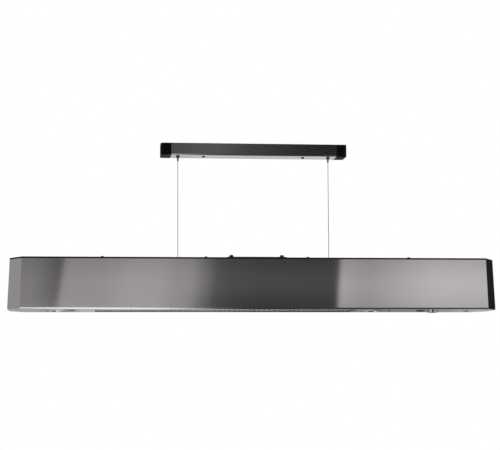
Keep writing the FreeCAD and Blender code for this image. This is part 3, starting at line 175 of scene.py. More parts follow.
class Finish(NodeTree):
    """A procedural material on Object coordinates, put together one layer at a time."""

    def __init__(self, name, color, roughness, metallic=0.0, **sockets):
        self.material = bpy.data.materials.new(name)
        super().__init__(self.material)
        self.shader = self.nodes["Principled BSDF"]
        self.set("Base Color", (*color, 1.0))
        self.set("Roughness", roughness)
        self.set("Metallic", metallic)
        for socket, value in sockets.items():
            self.set(socket.replace("_", " "), value)
        self.normal = None

    def set(self, socket, value):
        self.shader.inputs[socket].default_value = value

    def join(self, out, socket):
        self.links.new(out, self.shader.inputs[socket])

    def color_by(self, fac, first, second):
        self.join(self.blend(fac, first, second), "Base Color")

    def place(self, scale, location=(0, 0, 0)):
        scale = scale if isinstance(scale, tuple) else (scale, scale, scale)
        coords = self.node("ShaderNodeTexCoord").outputs["Object"]
        inputs = {"Vector": coords, "Scale": scale, "Location": location}
        return self.node("ShaderNodeMapping", inputs).outputs["Vector"]

    def noise(self, scale, detail=3.0, rough=0.55, location=(0, 0, 0)):
        """Noise with one frequency, or one along each axis, in waves to the metre."""
        inputs = {"Vector": self.place(scale, location), "Scale": 1.0, "Detail": detail,
                  "Roughness": rough}
        return self.node("ShaderNodeTexNoise", inputs).outputs["Fac"]

    def cells(self, scale, feature="F1"):
        """Distance from the middle of the nearest cell, with the frequencies given as for noise."""
        inputs = {"Vector": self.place(scale), "Scale": 1.0}
        return self.node("ShaderNodeTexVoronoi", inputs, feature=feature).outputs["Distance"]

    def spread(self, fac, low, high, from_low=0.3, from_high=0.7):
        """Carries one range of a pattern over to another, and holds it at both ends."""
        inputs = {"Value": fac, "From Min": from_low, "From Max": from_high, "To Min": low,
                  "To Max": high}
        return self.node("ShaderNodeMapRange", inputs).outputs["Result"]

    def bump(self, height, strength, depth):
        """Relief, at most so many millimetres deep, over any that is there already."""
        inputs = {"Height": height, "Strength": strength, "Distance": depth * MM}
        if self.normal is not None:
            inputs["Normal"] = self.normal
        self.normal = self.node("ShaderNodeBump", inputs).outputs["Normal"]
        self.join(self.normal, "Normal")

    def grain_along(self, vector):
        """Highlights stretch along this vector, across the brush marks."""
        turned = self.node("ShaderNodeVectorTransform", {"Vector": vector}, vector_type="VECTOR",
                           convert_from="OBJECT", convert_to="WORLD")
        self.join(turned.outputs["Vector"], "Tangent")


def worn(finish, amount, color, scale):
    """Faint uneven colour, as handling and polishing leave."""
    patches = finish.noise(scale, 4.0, 0.6)
    base = tuple(finish.shader.inputs["Base Color"].default_value)[:3]
    finish.color_by(finish.spread(patches, 0.0, amount), base, color)


def brushed_steel(name, color, roughness, tangent, rotation):
    """Steel sheet, belt brushed along X."""
    f = Finish(name, color, roughness, 1.0, Anisotropic=0.95, Anisotropic_Rotation=rotation)
    f.grain_along(f.node("ShaderNodeCombineXYZ", dict(enumerate(tangent))).outputs["Vector"])
    fine = f.noise((5.0, 1400.0, 1400.0), 2.0, 0.5)
    broad = f.noise((2.2, 260.0, 260.0), 3.0, 0.6, (3.0, 7.0, 1.0))
    clouds = f.noise((6.0, 8.0, 8.0), 3.0, 0.5)
    shade = f.math("ADD", f.math("MULTIPLY", fine, 0.75), f.math("MULTIPLY", broad, 0.25))
    darker = tuple(0.955 * c for c in color)
    lighter = tuple(1.03 * c for c in color)
    f.color_by(f.spread(shade, 0.0, 1.0, 0.32, 0.68), darker, lighter)
    grit = f.math("ADD", f.spread(broad, -0.004, 0.006), f.spread(clouds, -0.006, 0.008))
    f.join(f.math("ADD", grit, roughness), "Roughness")
    f.bump(fine, 0.05, 0.02)
    return f.material


def black_sheet():
    """Painted sheet with the faint peel of a powder coat."""
    f = Finish("black_sheet", (0.009, 0.009, 0.0095), 0.55, Specular_IOR_Level=0.12)
    worn(f, 0.5, (0.017, 0.017, 0.017), 9.0)
    f.join(f.spread(f.noise(35.0, 4.0), 0.48, 0.62), "Roughness")
    f.bump(f.noise(420.0, 2.0, 0.5), 0.18, 0.06)
    return f.material


def black_plastic():
    f = Finish("black_plastic", (0.0015, 0.0015, 0.0017), 0.5, Specular_IOR_Level=0.07)
    worn(f, 0.6, (0.004, 0.004, 0.004), 30.0)
    f.join(f.spread(f.noise(60.0), 0.44, 0.58), "Roughness")
    f.bump(f.noise(1900.0, 1.0), 0.25, 0.03)
    return f.material


def zinc_steel():
    """Galvanised sheet with its spangle."""
    f = Finish("zinc_steel", (0.56, 0.57, 0.58), 0.34, 1.0)
    spangle = f.cells(160.0)
    f.color_by(f.spread(spangle, 0.0, 1.0, 0.1, 0.8), (0.46, 0.47, 0.49), (0.66, 0.66, 0.66))
    f.join(f.spread(spangle, 0.27, 0.42, 0.1, 0.8), "Roughness")
    f.bump(f.noise(700.0, 2.0), 0.1, 0.03)
    return f.material


def black_screw():
    """Blackened steel with small rubbed patches."""
    f = Finish("black_screw", (0.010, 0.010, 0.011), 0.38, 0.35, Specular_IOR_Level=0.2)
    worn(f, 0.8, (0.035, 0.034, 0.032), 350.0)
    f.join(f.spread(f.noise(500.0, 2.0), 0.26, 0.42), "Roughness")
    f.bump(f.noise(1500.0, 1.0), 0.12, 0.03)
    return f.material


def plated(name, color, roughness, dark):
    """Plated or black-finished metal with fine scratches and darker stains."""
    f = Finish(name, color, roughness, 1.0)
    f.color_by(f.spread(f.noise(90.0, 4.0, 0.6), 0.0, 1.0, 0.3, 0.75), color, dark)
    scratches = f.spread(f.noise(900.0, 2.0), -0.04, 0.04)
    f.join(f.math("ADD", scratches, roughness), "Roughness")
    f.bump(f.noise(1200.0, 1.0), 0.05, 0.02)
    return f.material


def guard_steel():
    """Plated guard wire, straw coloured where the lamps heat it."""
    f = Finish("guard_steel", (0.58, 0.56, 0.54), 0.24, 1.0)
    heat = f.spread(f.noise((26.0, 16.0, 40.0), 3.0, 0.6), 0.0, 0.75, 0.4, 0.75)
    f.color_by(heat, (0.6, 0.59, 0.58), (0.50, 0.43, 0.33))
    f.join(f.spread(f.noise(600.0, 2.0), 0.18, 0.32), "Roughness")
    f.bump(f.noise(900.0, 1.0), 0.08, 0.03)
    return f.material


def reflector_aluminium():
    """Bright rolled aluminium with faint roll lines and hammered dimples."""
    f = Finish("reflector_aluminium", (0.83, 0.84, 0.85), 0.14, 1.0)
    rolled = f.noise((3.0, 520.0, 520.0), 2.0)
    haze = f.noise((14.0, 20.0, 20.0), 3.0, 0.6)
    f.color_by(f.spread(haze, 0.0, 1.0, 0.35, 0.75), (0.85, 0.855, 0.86), (0.70, 0.67, 0.62))
    f.join(f.math("ADD", f.spread(rolled, -0.03, 0.04), f.spread(haze, 0.10, 0.20)), "Roughness")
    f.bump(f.cells(150.0, "SMOOTH_F1"), 0.22, 0.6)
    f.bump(rolled, 0.1, 0.03)
    return f.material


def mill_aluminium(name, tone, roughness):
    """Aluminium as it leaves the mill, with drawn grain and a slightly pitted skin."""
    f = Finish(name, (tone, tone, 1.02 * tone), roughness, 1.0)
    grain = f.noise((40.0, 700.0, 700.0), 2.0)
    cast = f.noise(350.0, 3.0, 0.6)
    f.color_by(f.spread(grain, 0.0, 1.0), (0.9 * tone,) * 3, (1.06 * tone,) * 3)
    f.join(f.math("ADD", f.spread(cast, -0.06, 0.06), roughness), "Roughness")
    f.bump(cast, 0.2, 0.05)
    return f.material


def ceramic():
    """Unglazed ceramic with small dark specks."""
    f = Finish("ceramic", (0.80, 0.77, 0.70), 0.5)
    specks = f.spread(f.cells(600.0), 0.0, 1.0, 0.02, 0.22)
    f.color_by(specks, (0.52, 0.46, 0.38), (0.82, 0.79, 0.72))
    f.join(f.spread(f.noise(200.0), 0.42, 0.62), "Roughness")
    f.bump(f.noise(800.0), 0.25, 0.08)
    return f.material


def quartz():
    """Clear fused quartz with faint draw lines along the tube."""
    f = Finish("quartz", (0.97, 0.98, 1.0), 0.03, IOR=1.46, Transmission_Weight=1.0)
    drawn = f.noise((1.5, 900.0, 900.0), 2.0)
    f.join(f.spread(drawn, 0.015, 0.075), "Roughness")
    f.bump(drawn, 0.12, 0.06)
    return f.material


def coil_metal():
    """Resistance wire with a grey oxide skin."""
    f = Finish("coil_metal", (0.16, 0.14, 0.13), 0.5, 0.8)
    f.color_by(f.noise((120.0, 900.0, 900.0)), (0.10, 0.09, 0.085), (0.27, 0.23, 0.20))
    f.join(f.spread(f.noise((700.0, 900.0, 900.0), 2.0), 0.4, 0.65), "Roughness")
    f.bump(f.noise(3000.0, 1.0), 0.2, 0.02)
    return f.material


def frosted_lens():
    """Pressed glass, lightly frosted."""
    f = Finish("frosted_lens", (0.93, 0.94, 0.94), 0.42, IOR=1.5, Transmission_Weight=0.55)
    f.join(f.spread(f.noise(260.0), 0.34, 0.52), "Roughness")
    f.color_by(f.noise(40.0, 2.0), (0.90, 0.91, 0.90), (0.96, 0.97, 0.97))
    f.bump(f.noise(1400.0, 1.0), 0.2, 0.04)
    return f.material


def moulded(name, color, roughness, accent, grain=900.0):
    """Moulded plastic, rubber or board: two close colours and a fine grain."""
    f = Finish(name, color, roughness)
    f.color_by(f.spread(f.noise(45.0), 0.0, 1.0), color, accent)
    f.join(f.math("ADD", f.spread(f.noise(120.0), -0.05, 0.05), roughness), "Roughness")
    f.bump(f.noise(grain, 2.0), 0.2, 0.03)
    return f.material


def amber_lens():
    """Smoked amber: it reads almost black while the lamp is off."""
    f = Finish("amber_lens", (0.13, 0.045, 0.02), 0.12, IOR=1.49, Transmission_Weight=0.15)
    f.color_by(f.noise(300.0, 2.0), (0.11, 0.04, 0.018), (0.15, 0.055, 0.022))
    f.join(f.spread(f.noise(500.0, 2.0), 0.08, 0.18), "Roughness")
    f.bump(f.noise(900.0, 1.0), 0.06, 0.03)
    return f.material


def loom_sleeve():
    """Braided heat sleeve, with short raised strands along it."""
    f = Finish("loom_sleeve", (0.045, 0.045, 0.047), 0.75, Sheen_Weight=0.15)
    braid = f.cells((420.0, 900.0, 900.0))
    f.color_by(f.spread(braid, 0.0, 1.0, 0.05, 0.6), (0.075, 0.075, 0.08), (0.02, 0.02, 0.022))
    f.join(f.spread(braid, 0.65, 0.9), "Roughness")
    f.bump(braid, 0.6, 0.4)
    return f.material


def turned_metal(name, color, roughness, *centres):
    """Metal faced on a lathe: marks and grain run round the nearest of one or two centres."""
    f = Finish(name, color, roughness, 1.0, Anisotropic=0.8)
    coords = f.node("ShaderNodeTexCoord").outputs["Object"]
    x, y, _ = f.node("ShaderNodeSeparateXYZ", {0: coords}).outputs
    beyond = f.math("GREATER_THAN", x, sum(centres) / len(centres))
    span = max(centres) - min(centres)
    centre = f.math("ADD", f.math("MULTIPLY", beyond, span), min(centres))
    across = f.math("SUBTRACT", x, centre)
    squares = f.math("ADD", f.math("MULTIPLY", across, across), f.math("MULTIPLY", y, y))
    f.grain_along(f.node("ShaderNodeCombineXYZ", {0: across, 1: y}).outputs["Vector"])
    inputs = {"W": f.math("SQRT", squares), "Scale": 1800.0, "Detail": 2.0}
    rings = f.node("ShaderNodeTexNoise", inputs, noise_dimensions="1D").outputs["Fac"]
    f.color_by(f.spread(rings, 0.0, 1.0), tuple(0.82 * c for c in color), color)
    f.join(f.math("ADD", f.spread(rings, -0.03, 0.04), roughness), "Roughness")
    f.bump(rings, 0.1, 0.03)
    return f.material


def downlight_pair(node):
    """Places, shared depth, radius, foot and head of the two round pieces in a node."""
    low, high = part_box(node)
    radius = (high.y - low.y) / 2
    return (low.x + radius, high.x - radius), (low.y + high.y) / 2, radius, low.z, high.z


STEEL = (0.615, 0.580, 0.590)
BAR_STEEL = (0.57, 0.54, 0.545)


def make_finishes():
    knob_low, knob_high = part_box("control_knob")
    knob_middle = (knob_low.x + knob_high.x) / 2
    bezels = downlight_pair("downlight_bezels")[0]
    return {
        "wall_steel": brushed_steel("wall_steel", STEEL, 0.075, UP, 0.0),
        "panel_steel": brushed_steel("panel_steel", STEEL, 0.09, ALONG, 0.25),
        "bar_steel": brushed_steel("bar_steel", BAR_STEEL, 0.10, ALONG, 0.25),
        "black_sheet": black_sheet(),
        "black_plastic": black_plastic(),
        "zinc_steel": zinc_steel(),
        "black_screw": black_screw(),
        "wire_steel": plated("wire_steel", (0.07, 0.07, 0.072), 0.36, (0.04, 0.04, 0.042)),
        "nickel": plated("nickel", (0.68, 0.66, 0.62), 0.2, (0.55, 0.53, 0.49)),
        "black_nickel": plated("black_nickel", (0.13, 0.124, 0.118), 0.3, (0.07, 0.067, 0.064)),
        "guard_rail": plated("guard_rail", (0.62, 0.61, 0.60), 0.38, (0.50, 0.48, 0.46)),
        "bezel_nickel": turned_metal("bezel_nickel", (0.66, 0.65, 0.63), 0.22, *bezels),
        # near-black finish of the guard edging: painted shade inside the panel's opening
        "blackened": plated("blackened", (0.030, 0.029, 0.028), 0.45, (0.016, 0.015, 0.015)),
        "brass": plated("brass", (0.72, 0.52, 0.24), 0.28, (0.55, 0.37, 0.15)),
        "guard_steel": guard_steel(),
        "reflector_aluminium": reflector_aluminium(),
        "shield_aluminium": mill_aluminium("shield_aluminium", 0.66, 0.36),
        "ceramic": ceramic(),
        "quartz": quartz(),
        "filament": coil_metal(),
        "lens": frosted_lens(),
        "can_aluminium": mill_aluminium("can_aluminium", 0.58, 0.48),
        "board": moulded("board", (0.80, 0.80, 0.78), 0.5, (0.72, 0.72, 0.70)),
        "phosphor": moulded("phosphor", (0.80, 0.62, 0.16), 0.35, (0.85, 0.70, 0.22), 2500.0),
        "chrome_knob": turned_metal("chrome_knob", (0.70, 0.70, 0.69), 0.18, knob_middle),
        "grey_plastic": moulded("grey_plastic", (0.16, 0.16, 0.165), 0.5, (0.20, 0.20, 0.205)),
        "amber_lens": amber_lens(),
        "white_plastic": moulded("white_plastic", (0.74, 0.74, 0.71), 0.45, (0.66, 0.66, 0.62)),
        "seal_rubber": moulded("seal_rubber", (0.012, 0.012, 0.012), 0.75, (0.02, 0.02, 0.02),
                               1500.0),
        "loom_sleeve": loom_sleeve(),
    }


FINISHES = make_finishes()
# nodes that don't take the finish of their slot's name
OWN_FINISH = {
    "housing_shell": "wall_steel",
    "bottom_panel": "panel_steel",
    "downlight_bezels": "bezel_nickel",
    "knob_cup": "nickel",
    "gripper_sockets": "black_nickel",
    "gripper_swivels": "black_nickel",
    "gripper_nuts": "black_nickel",
    "guard_frame": "guard_rail",
}


def dress_frame():
    for name, node in NODES.items():
        finish = OWN_FINISH.get(name, SLOT_OF[name])
        node.material_slots[0].material = FINISHES[finish]


# ------------------------------------------------------------------ floor and cards


def stage_piece(name, mesh_maker, material):
    bm = bmesh.new()
    mesh_maker(bm)
    mesh = bpy.data.meshes.new(name)
    bm.to_mesh(mesh)
    bm.free()
    mesh.materials.append(material)
    piece = bpy.data.objects.new(name, mesh)
    bpy.context.scene.collection.objects.link(piece)
    return piece


FLOOR_HEIGHT = -2.4
FLOOR_RADIUS = 14.0
FLOOR_SIDES = 64
FLOOR_PAINT = (0.80, 0.80, 0.80, 1)
FADE_FROM = 1.6
FADE_TO = 5.0


def floor_finish():
    """Pale paint that holds a shadow near the lamp, melts into the white further out and is
    clear from below."""
    material = bpy.data.materials.new("pale_floor")
    tree = NodeTree(material)
    tree.nodes.clear()
    coords = tree.node("ShaderNodeTexCoord").outputs["Object"]
    flat = tree.node("ShaderNodeVectorMath", {0: coords, 1: (1, 1, 0)}, operation="MULTIPLY")
    reach = tree.node("ShaderNodeVectorMath", {0: flat.outputs["Vector"]}, operation="LENGTH")
    inputs = {"Value": reach.outputs["Value"], "From Min": FADE_FROM, "From Max": FADE_TO}
    away = tree.node("ShaderNodeMapRange", inputs, interpolation_type="SMOOTHSTEP")
    melted = tree.math("MULTIPLY", away.outputs["Result"], tree.seen_directly())
    paint = tree.node("ShaderNodeBsdfDiffuse", {"Color": FLOOR_PAINT})
    above = tree.mix_shaders(melted, paint, tree.node("ShaderNodeEmission"))
    below = tree.node("ShaderNodeNewGeometry").outputs["Backfacing"]
    sided = tree.mix_shaders(below, above, tree.node("ShaderNodeBsdfTransparent"))
    tree.node("ShaderNodeOutputMaterial", {"Surface": sided.outputs[0]})
    material.cycles.emission_sampling = "NONE"
    return material


def make_floor():
    def disc(bm):
        bmesh.ops.create_circle(bm, cap_ends=True, segments=FLOOR_SIDES, radius=FLOOR_RADIUS,
                                matrix=Matrix.Translation((0, 0, FLOOR_HEIGHT)))
    stage_piece("floor", disc, floor_finish())


class CardTone(NodeTree):
    """The glow of a reflector card: a tone worked out from the place on the card."""

    def __init__(self, name):
        self.material = bpy.data.materials.new(name)
        super().__init__(self.material)
        self.material.cycles.emission_sampling = "NONE"
        self.nodes.clear()
        coords = self.node("ShaderNodeTexCoord").outputs["Object"]
        self.x, self.y, self.z = self.node("ShaderNodeSeparateXYZ", {0: coords}).outputs

    def step(self, value, low, high, kind="SMOOTHSTEP"):
        inputs = {"Value": value, "From Min": low, "From Max": high}
        node = self.node("ShaderNodeMapRange", inputs, interpolation_type=kind)
        return node.outputs["Result"]

    def tones(self, value, stops):
        """A tone that runs through (place, tone) stops."""
        low, high = stops[0][0], stops[-1][0]
        ramp = self.node("ShaderNodeValToRGB", {"Fac": self.step(value, low, high, "LINEAR")})
        elements = ramp.color_ramp.elements
        while len(elements) < len(stops):
            elements.new(1.0)
        for element, (place, tone) in zip(elements, stops):
            element.position = (place - low) / (high - low)
            element.color = (tone, tone, tone, 1)
        return ramp.outputs["Color"]

    def scale(self, color, factor):
        factor = (factor, factor, factor) if isinstance(factor, float) else factor
        node = self.node("ShaderNodeVectorMath", {0: color, 1: factor}, operation="MULTIPLY")
        return node.outputs[0]

    def finish(self, color, strength=1.0):
        glow = self.node("ShaderNodeEmission", {"Color": color, "Strength": strength})
        self.node("ShaderNodeOutputMaterial", {"Surface": glow.outputs[0]})
        return self.material


def add_card(name, centre, size, turn, material):
    """A flat card that only mirrors see, turned from lying flat."""
    def sheet(bm):
        place = Matrix.Translation(centre) @ turn @ Matrix.Diagonal((size[0], size[1], 1, 1))
        bmesh.ops.create_grid(bm, x_segments=1, y_segments=1, size=0.5, matrix=place)
    card = stage_piece(name, sheet, material)
    card.visible_camera = False
    card.visible_diffuse = False
    card.visible_shadow = False
    card.visible_transmission = False


LYING = Matrix.Identity(4)
STANDING = Matrix.Rotation(math.pi / 2, 4, "X")
STANDING_SIDE = Matrix.Rotation(math.pi / 2, 4, "Y")
FRONT = -1.59
BACK = 2.0
LEFT = -1.7
RIGHT = 1.5
ROOM_TOP = 1.3
ROOM_FOOT = -1.4
LOW_GLOW = 1.65

# Heights over which the bands of the front and back cards melt into each other. The edges in
# the front card's middle band lean: they stand where the table has them at LEAN_HEIGHT.
FRONT_UPPER_MELT = (-0.02, 0.06)
FRONT_LOWER_MELT = (-0.262, -0.33)
BACK_MELT = (-0.37, -0.46)
LEAN_HEIGHT = -0.133
LEAN_AT_CENTRE = 0.1245
LEAN_CHANGE = 0.07

FRONT_MIDDLE = (
    (-0.70, 0.36), (-0.61, 0.34), (-0.56, 0.25), (-0.512, 0.13), (-0.506, 0.485), (-0.37, 0.50),
    (-0.27, 0.59), (-0.168, 0.585), (-0.114, 0.50), (-0.059, 0.50), (-0.031, 0.37),
    (-0.004, 0.295), (0.024, 0.178), (0.08, 0.152), (0.175, 0.132), (0.26, 0.13), (0.449, 0.127),
    (0.455, 0.72), (0.51, 0.63), (0.56, 0.60), (0.67, 0.75), (0.76, 0.86), (0.81, 0.905),
    (0.96, 0.87), (1.50, 0.87),
)
FRONT_WINDOW = ((-0.1, 0.0), (0.02, 1.0), (0.449, 1.0), (0.455, 0.0))
FRONT_FALL = (
    (-0.24, 0.76), (-0.204, 0.80), (-0.187, 0.855), (-0.162, 0.955), (-0.136, 1.0),
    (-0.11, 0.93), (-0.084, 0.80), (-0.065, 0.75), (-0.02, 0.70),
)
FRONT_WINDOW_FALL = (
    (-0.24, 0.38), (-0.204, 0.45), (-0.187, 0.55), (-0.162, 0.85), (-0.136, 1.0),
    (-0.11, 0.93), (-0.084, 0.67), (-0.05, 0.50), (-0.02, 0.40),
)
FRONT_UPPER = (
    (-0.4, 0.13), (-0.165, 0.10), (-0.11, 0.105), (-0.023, 0.14), (0.048, 0.145),
    (0.155, 0.085), (0.335, 0.044), (0.443, 0.028), (0.5, 0.022), (1.5, 0.024),
)
FRONT_LOWER = (
    (-0.66, 0.55), (-0.53, 1.0), (-0.2, 0.85), (-0.08, 0.4), (0.03, 0.10), (0.1, 0.04),
    (0.4, 0.05), (1.5, 0.07),
)
BACK_UPPER = (
    (LEFT, 0.38), (-0.6, 0.64), (-0.05, 0.67), (0.1, 0.80), (0.5, 0.90), (1.0, 0.55),
    (RIGHT, 0.40),
)
BACK_LOWER = (
    (LEFT, 0.38), (-0.75, 0.42), (-0.59, 0.41), (-0.55, 0.31), (-0.48, 0.31), (-0.44, 0.50),
    (-0.2, 0.55), (0.04, 0.60), (0.2, 0.26), (0.35, 0.22), (0.65, 0.25), (0.9, 0.29),
    (1.08, 0.5), (RIGHT, 0.5),
)
LEFT_SIDE = ((FRONT, 0.40), (0.0, 0.43), (BACK, 0.405))
RIGHT_SIDE = (
    (FRONT, 0.80), (-0.47, 0.78), (0.0, 0.62), (0.25, 0.40), (0.42, 0.02), (1.30, 0.02),
    (1.50, 0.30), (BACK, 0.45),
)
LOW_SIDE = (
    (LEFT, 0.40), (-0.60, 0.44), (-0.50, 0.74), (-0.30, 0.88), (-0.17, 0.84), (-0.07, 0.38),
    (-0.02, 0.11), (0.06, 0.03), (0.18, 0.015), (0.31, 0.026), (0.42, 0.045), (0.53, 0.05),
    (RIGHT, 0.045),
)


def front_tones():
    """What the long face mirrors: grey, a soft dark window in the middle, and a bright right."""
    c = CardTone("front_card")
    lean = c.math("SUBTRACT", LEAN_AT_CENTRE, c.math("MULTIPLY", c.x, LEAN_CHANGE))
    along = c.math("SUBTRACT", c.x, c.math("MULTIPLY", lean, c.math("ADD", c.z, -LEAN_HEIGHT)))
    fall = c.blend(c.tones(along, FRONT_WINDOW), c.tones(c.z, FRONT_FALL),
                   c.tones(c.z, FRONT_WINDOW_FALL))
    middle = c.scale(c.tones(along, FRONT_MIDDLE), fall)
    lower = c.scale(c.tones(c.x, FRONT_LOWER), LOW_GLOW)
    tone = c.blend(c.step(c.z, *FRONT_LOWER_MELT), middle, lower)
    upper = c.tones(c.x, FRONT_UPPER)
    return c.finish(c.blend(c.step(c.z, *FRONT_UPPER_MELT), tone, upper))


def back_tones():
    """Its upper part shows in the bar's underside, and its darker lower part in the lamp's."""
    c = CardTone("back_card")
    upper, lower = c.tones(c.x, BACK_UPPER), c.tones(c.x, BACK_LOWER)
    return c.finish(c.blend(c.step(c.z, *BACK_MELT), upper, lower))


def plain_tones(name, stops, axis, strength=1.0):
    """Tones that change along one axis only."""
    c = CardTone(name)
    return c.finish(c.tones(getattr(c, axis), stops), strength)


def make_cards():
    width, depth, height = RIGHT - LEFT, BACK - FRONT, ROOM_TOP - ROOM_FOOT
    x, y, z = (LEFT + RIGHT) / 2, (FRONT + BACK) / 2, (ROOM_TOP + ROOM_FOOT) / 2
    add_card("front_card", (x, FRONT, z), (width, height), STANDING, front_tones())
    add_card("left_card", (LEFT, y, z), (height, depth), STANDING_SIDE,
             plain_tones("left_card", LEFT_SIDE, "y"))
    add_card("right_card", (RIGHT, y, z), (height, depth), STANDING_SIDE,
             plain_tones("right_card", RIGHT_SIDE, "y"))
    add_card("back_card", (x, BACK, z), (width, height), STANDING, back_tones())
    add_card("low_card", (x, y, ROOM_FOOT), (width, depth), LYING,
             plain_tones("low_card", LOW_SIDE, "x", LOW_GLOW))


# ------------------------------------------------------------------ making pieces


def make_piece(name, bm, material, body, slot, *stands_for):
    """Turns a finished bmesh into a piece that rides on a body and stands for its CAD nodes."""
    mesh = bpy.data.meshes.new(name)
    bm.to_mesh(mesh)
    bm.free()
    mesh.materials.append(material)
    piece = bpy.data.objects.new(name, mesh)
    bpy.context.scene.collection.objects.link(piece)
    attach(piece, body)
    if stands_for:
        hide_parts(*stands_for)
    return piece


MERGE = 0.001 * MM
CHIP_CREASE = 35
LENS_CREASE = 12
FACET_CREASE = 2
BUTTON_CREASE = 30
WIRE_CREASE = 80


def smooth(bm, crease):
    """Smooth shading that stays sharp at edges bent by more than so many degrees."""
    for face in bm.faces:
        face.smooth = True
    for edge in bm.edges:
        if len(edge.link_faces) == 2 and edge.calc_face_angle(0.0) > math.radians(crease):
            edge.smooth = False


def wind(bm, centre, axis, coil_radius, wire_radius, start_turn, lead, steps, sides):
    """One turn of a wire round an axis: a small circle spun with a rise at every step."""
    axis = Vector(axis)
    side = Vector((0, 1, 0)) if abs(axis.y) < 0.5 else Vector((1, 0, 0))
    out = Matrix.Rotation(start_turn, 3, axis) @ side
    face_to = axis.to_track_quat("Z", "Y").to_matrix().to_4x4()
    place = Matrix.Translation(Vector(centre) + out * coil_radius) @ face_to
    ring = bmesh.ops.create_circle(bm, segments=sides, radius=wire_radius, matrix=place)["verts"]
    edges = list(dict.fromkeys(e for v in ring for e in v.link_edges))
    bmesh.ops.spin(bm, geom=ring + edges, cent=centre, axis=axis, dvec=axis * (lead / steps),
                   angle=2 * math.pi, steps=steps, use_duplicate=False)


def repeat_turn(bm, axis, lead, count):
    """Lays copies of the first turn end to end and joins them."""
    turn = list(bm.verts) + list(bm.edges) + list(bm.faces)
    for index in range(1, count):
        copied = bmesh.ops.duplicate(bm, geom=turn)["geom"]
        verts = [v for v in copied if isinstance(v, bmesh.types.BMVert)]
        bmesh.ops.translate(bm, verts=verts, vec=Vector(axis) * (lead * index))
    bmesh.ops.remove_doubles(bm, verts=bm.verts, dist=MERGE)


def close_ends(bm):
    open_edges = [e for e in bm.edges if len(e.link_faces) == 1]
    bmesh.ops.holes_fill(bm, edges=open_edges, sides=0)
    bmesh.ops.recalc_face_normals(bm, faces=bm.faces)


def turn_profile(bm, centre_x, centre_y, profile, steps):
    """A solid turned round a standing axis; the profile runs from the axis out and back to it."""
    verts = [bm.verts.new((centre_x + radius, centre_y, height)) for radius, height in profile]
    edges = [bm.edges.new(pair) for pair in zip(verts, verts[1:])]
    bmesh.ops.spin(bm, geom=verts + edges, cent=(centre_x, centre_y, 0.0), axis=UP,
                   angle=2 * math.pi, steps=steps, use_merge=True, use_duplicate=False)
    bmesh.ops.remove_doubles(bm, verts=bm.verts, dist=MERGE)
    bmesh.ops.recalc_face_normals(bm, faces=bm.faces)


# ------------------------------------------------------------------ downlights and controls

PRISM_PITCH = 2.2 * MM
PRISM_DEPTH = 0.55 * MM
PRISM_CREST = 0.8
LENS_SEAT = 2.6 * MM
LENS_EDGE = 0.2 * MM
LENS_STEPS = 72


def make_lenses():
    """Pressed glass with rings of small prisms facing the light and a plain rim in the bezel."""
    places, centre_y, radius, low, high = downlight_pair("downlight_lenses")
    rings = [(0.0, high - PRISM_DEPTH)]
    for index in range(int((radius - LENS_SEAT) / PRISM_PITCH)):
        rings.append(((index + PRISM_CREST) * PRISM_PITCH, high))
        rings.append(((index + 1.0) * PRISM_PITCH, high - PRISM_DEPTH))
    rim = [(radius - LENS_SEAT / 2, high), (radius - LENS_EDGE, high), (radius, high - LENS_EDGE),
           (radius, low + LENS_EDGE), (radius - LENS_EDGE, low), (0.0, low)]
    bm = bmesh.new()
    for x in places:
        turn_profile(bm, x, centre_y, rings + rim, LENS_STEPS)
    smooth(bm, LENS_CREASE)
    make_piece("prism_lenses", bm, FINISHES["lens"], "lamp", "lens", "downlight_lenses")


CHIP_SIZE = 3.5 * MM
CHIP_HEIGHT = 0.7 * MM
CHIP_EDGE = 0.12 * MM
CHIP_RINGS = ((0.0, 1), (9.5 * MM, 6), (19.0 * MM, 12))


def make_chips():
    """Light chips soldered in rings under each light board."""
    places, centre_y, _, low, _ = downlight_pair("downlight_boards")
    bm = bmesh.new()
    for x in places:
        for ring, count in CHIP_RINGS:
            for index in range(count):
                turn = 2 * math.pi * index / count
                place = Vector((x + ring * math.cos(turn), centre_y + ring * math.sin(turn),
                                low - CHIP_HEIGHT / 2))
                shape = Matrix.Translation(place) @ Matrix.Rotation(turn, 4, "Z")
                shape = shape @ Matrix.Diagonal((CHIP_SIZE, CHIP_SIZE, CHIP_HEIGHT, 1.0))
                bmesh.ops.create_cube(bm, size=1.0, matrix=shape)
    bmesh.ops.bevel(bm, geom=bm.edges[:], offset=CHIP_EDGE, segments=2, profile=0.5,
                    affect="EDGES", material=-1)
    smooth(bm, CHIP_CREASE)
    make_piece("light_chips", bm, FINISHES["phosphor"], "lamp", "board")


PILOT_DOME = 1.4 * MM
PILOT_RINGS = (0.3, 0.62, 0.9)
PILOT_FACETS = 16


def make_pilot_lens():
    """Faceted dome of the pilot lamp."""
    low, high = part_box("pilot_lens")
    radius = (high.y - low.y) / 2
    rim = low.z + PILOT_DOME
    bend = (radius ** 2 + PILOT_DOME ** 2) / (2 * PILOT_DOME)
    dome = [(0.0, low.z)]
    for share in PILOT_RINGS:
        out = share * radius
        dome.append((out, low.z + bend - math.sqrt(bend ** 2 - out ** 2)))
    bm = bmesh.new()
    turn_profile(bm, (low.x + high.x) / 2, (low.y + high.y) / 2,
                 dome + [(radius, rim), (radius, high.z), (0.0, high.z)], PILOT_FACETS)
    smooth(bm, FACET_CREASE)
    make_piece("pilot_facets", bm, FINISHES["amber_lens"], "lamp", "amber_lens", "pilot_lens")


# share of the button's radius, and rise in millimetres from its lowest point
BUTTON_PROFILE = ((0.0, 0.42), (0.22, 0.40), (0.42, 0.32), (0.60, 0.18), (0.72, 0.05), (0.78, 0.0),
                  (0.88, 0.0), (0.935, 0.06), (0.975, 0.22), (1.0, 0.5))
BUTTON_STEPS = 48


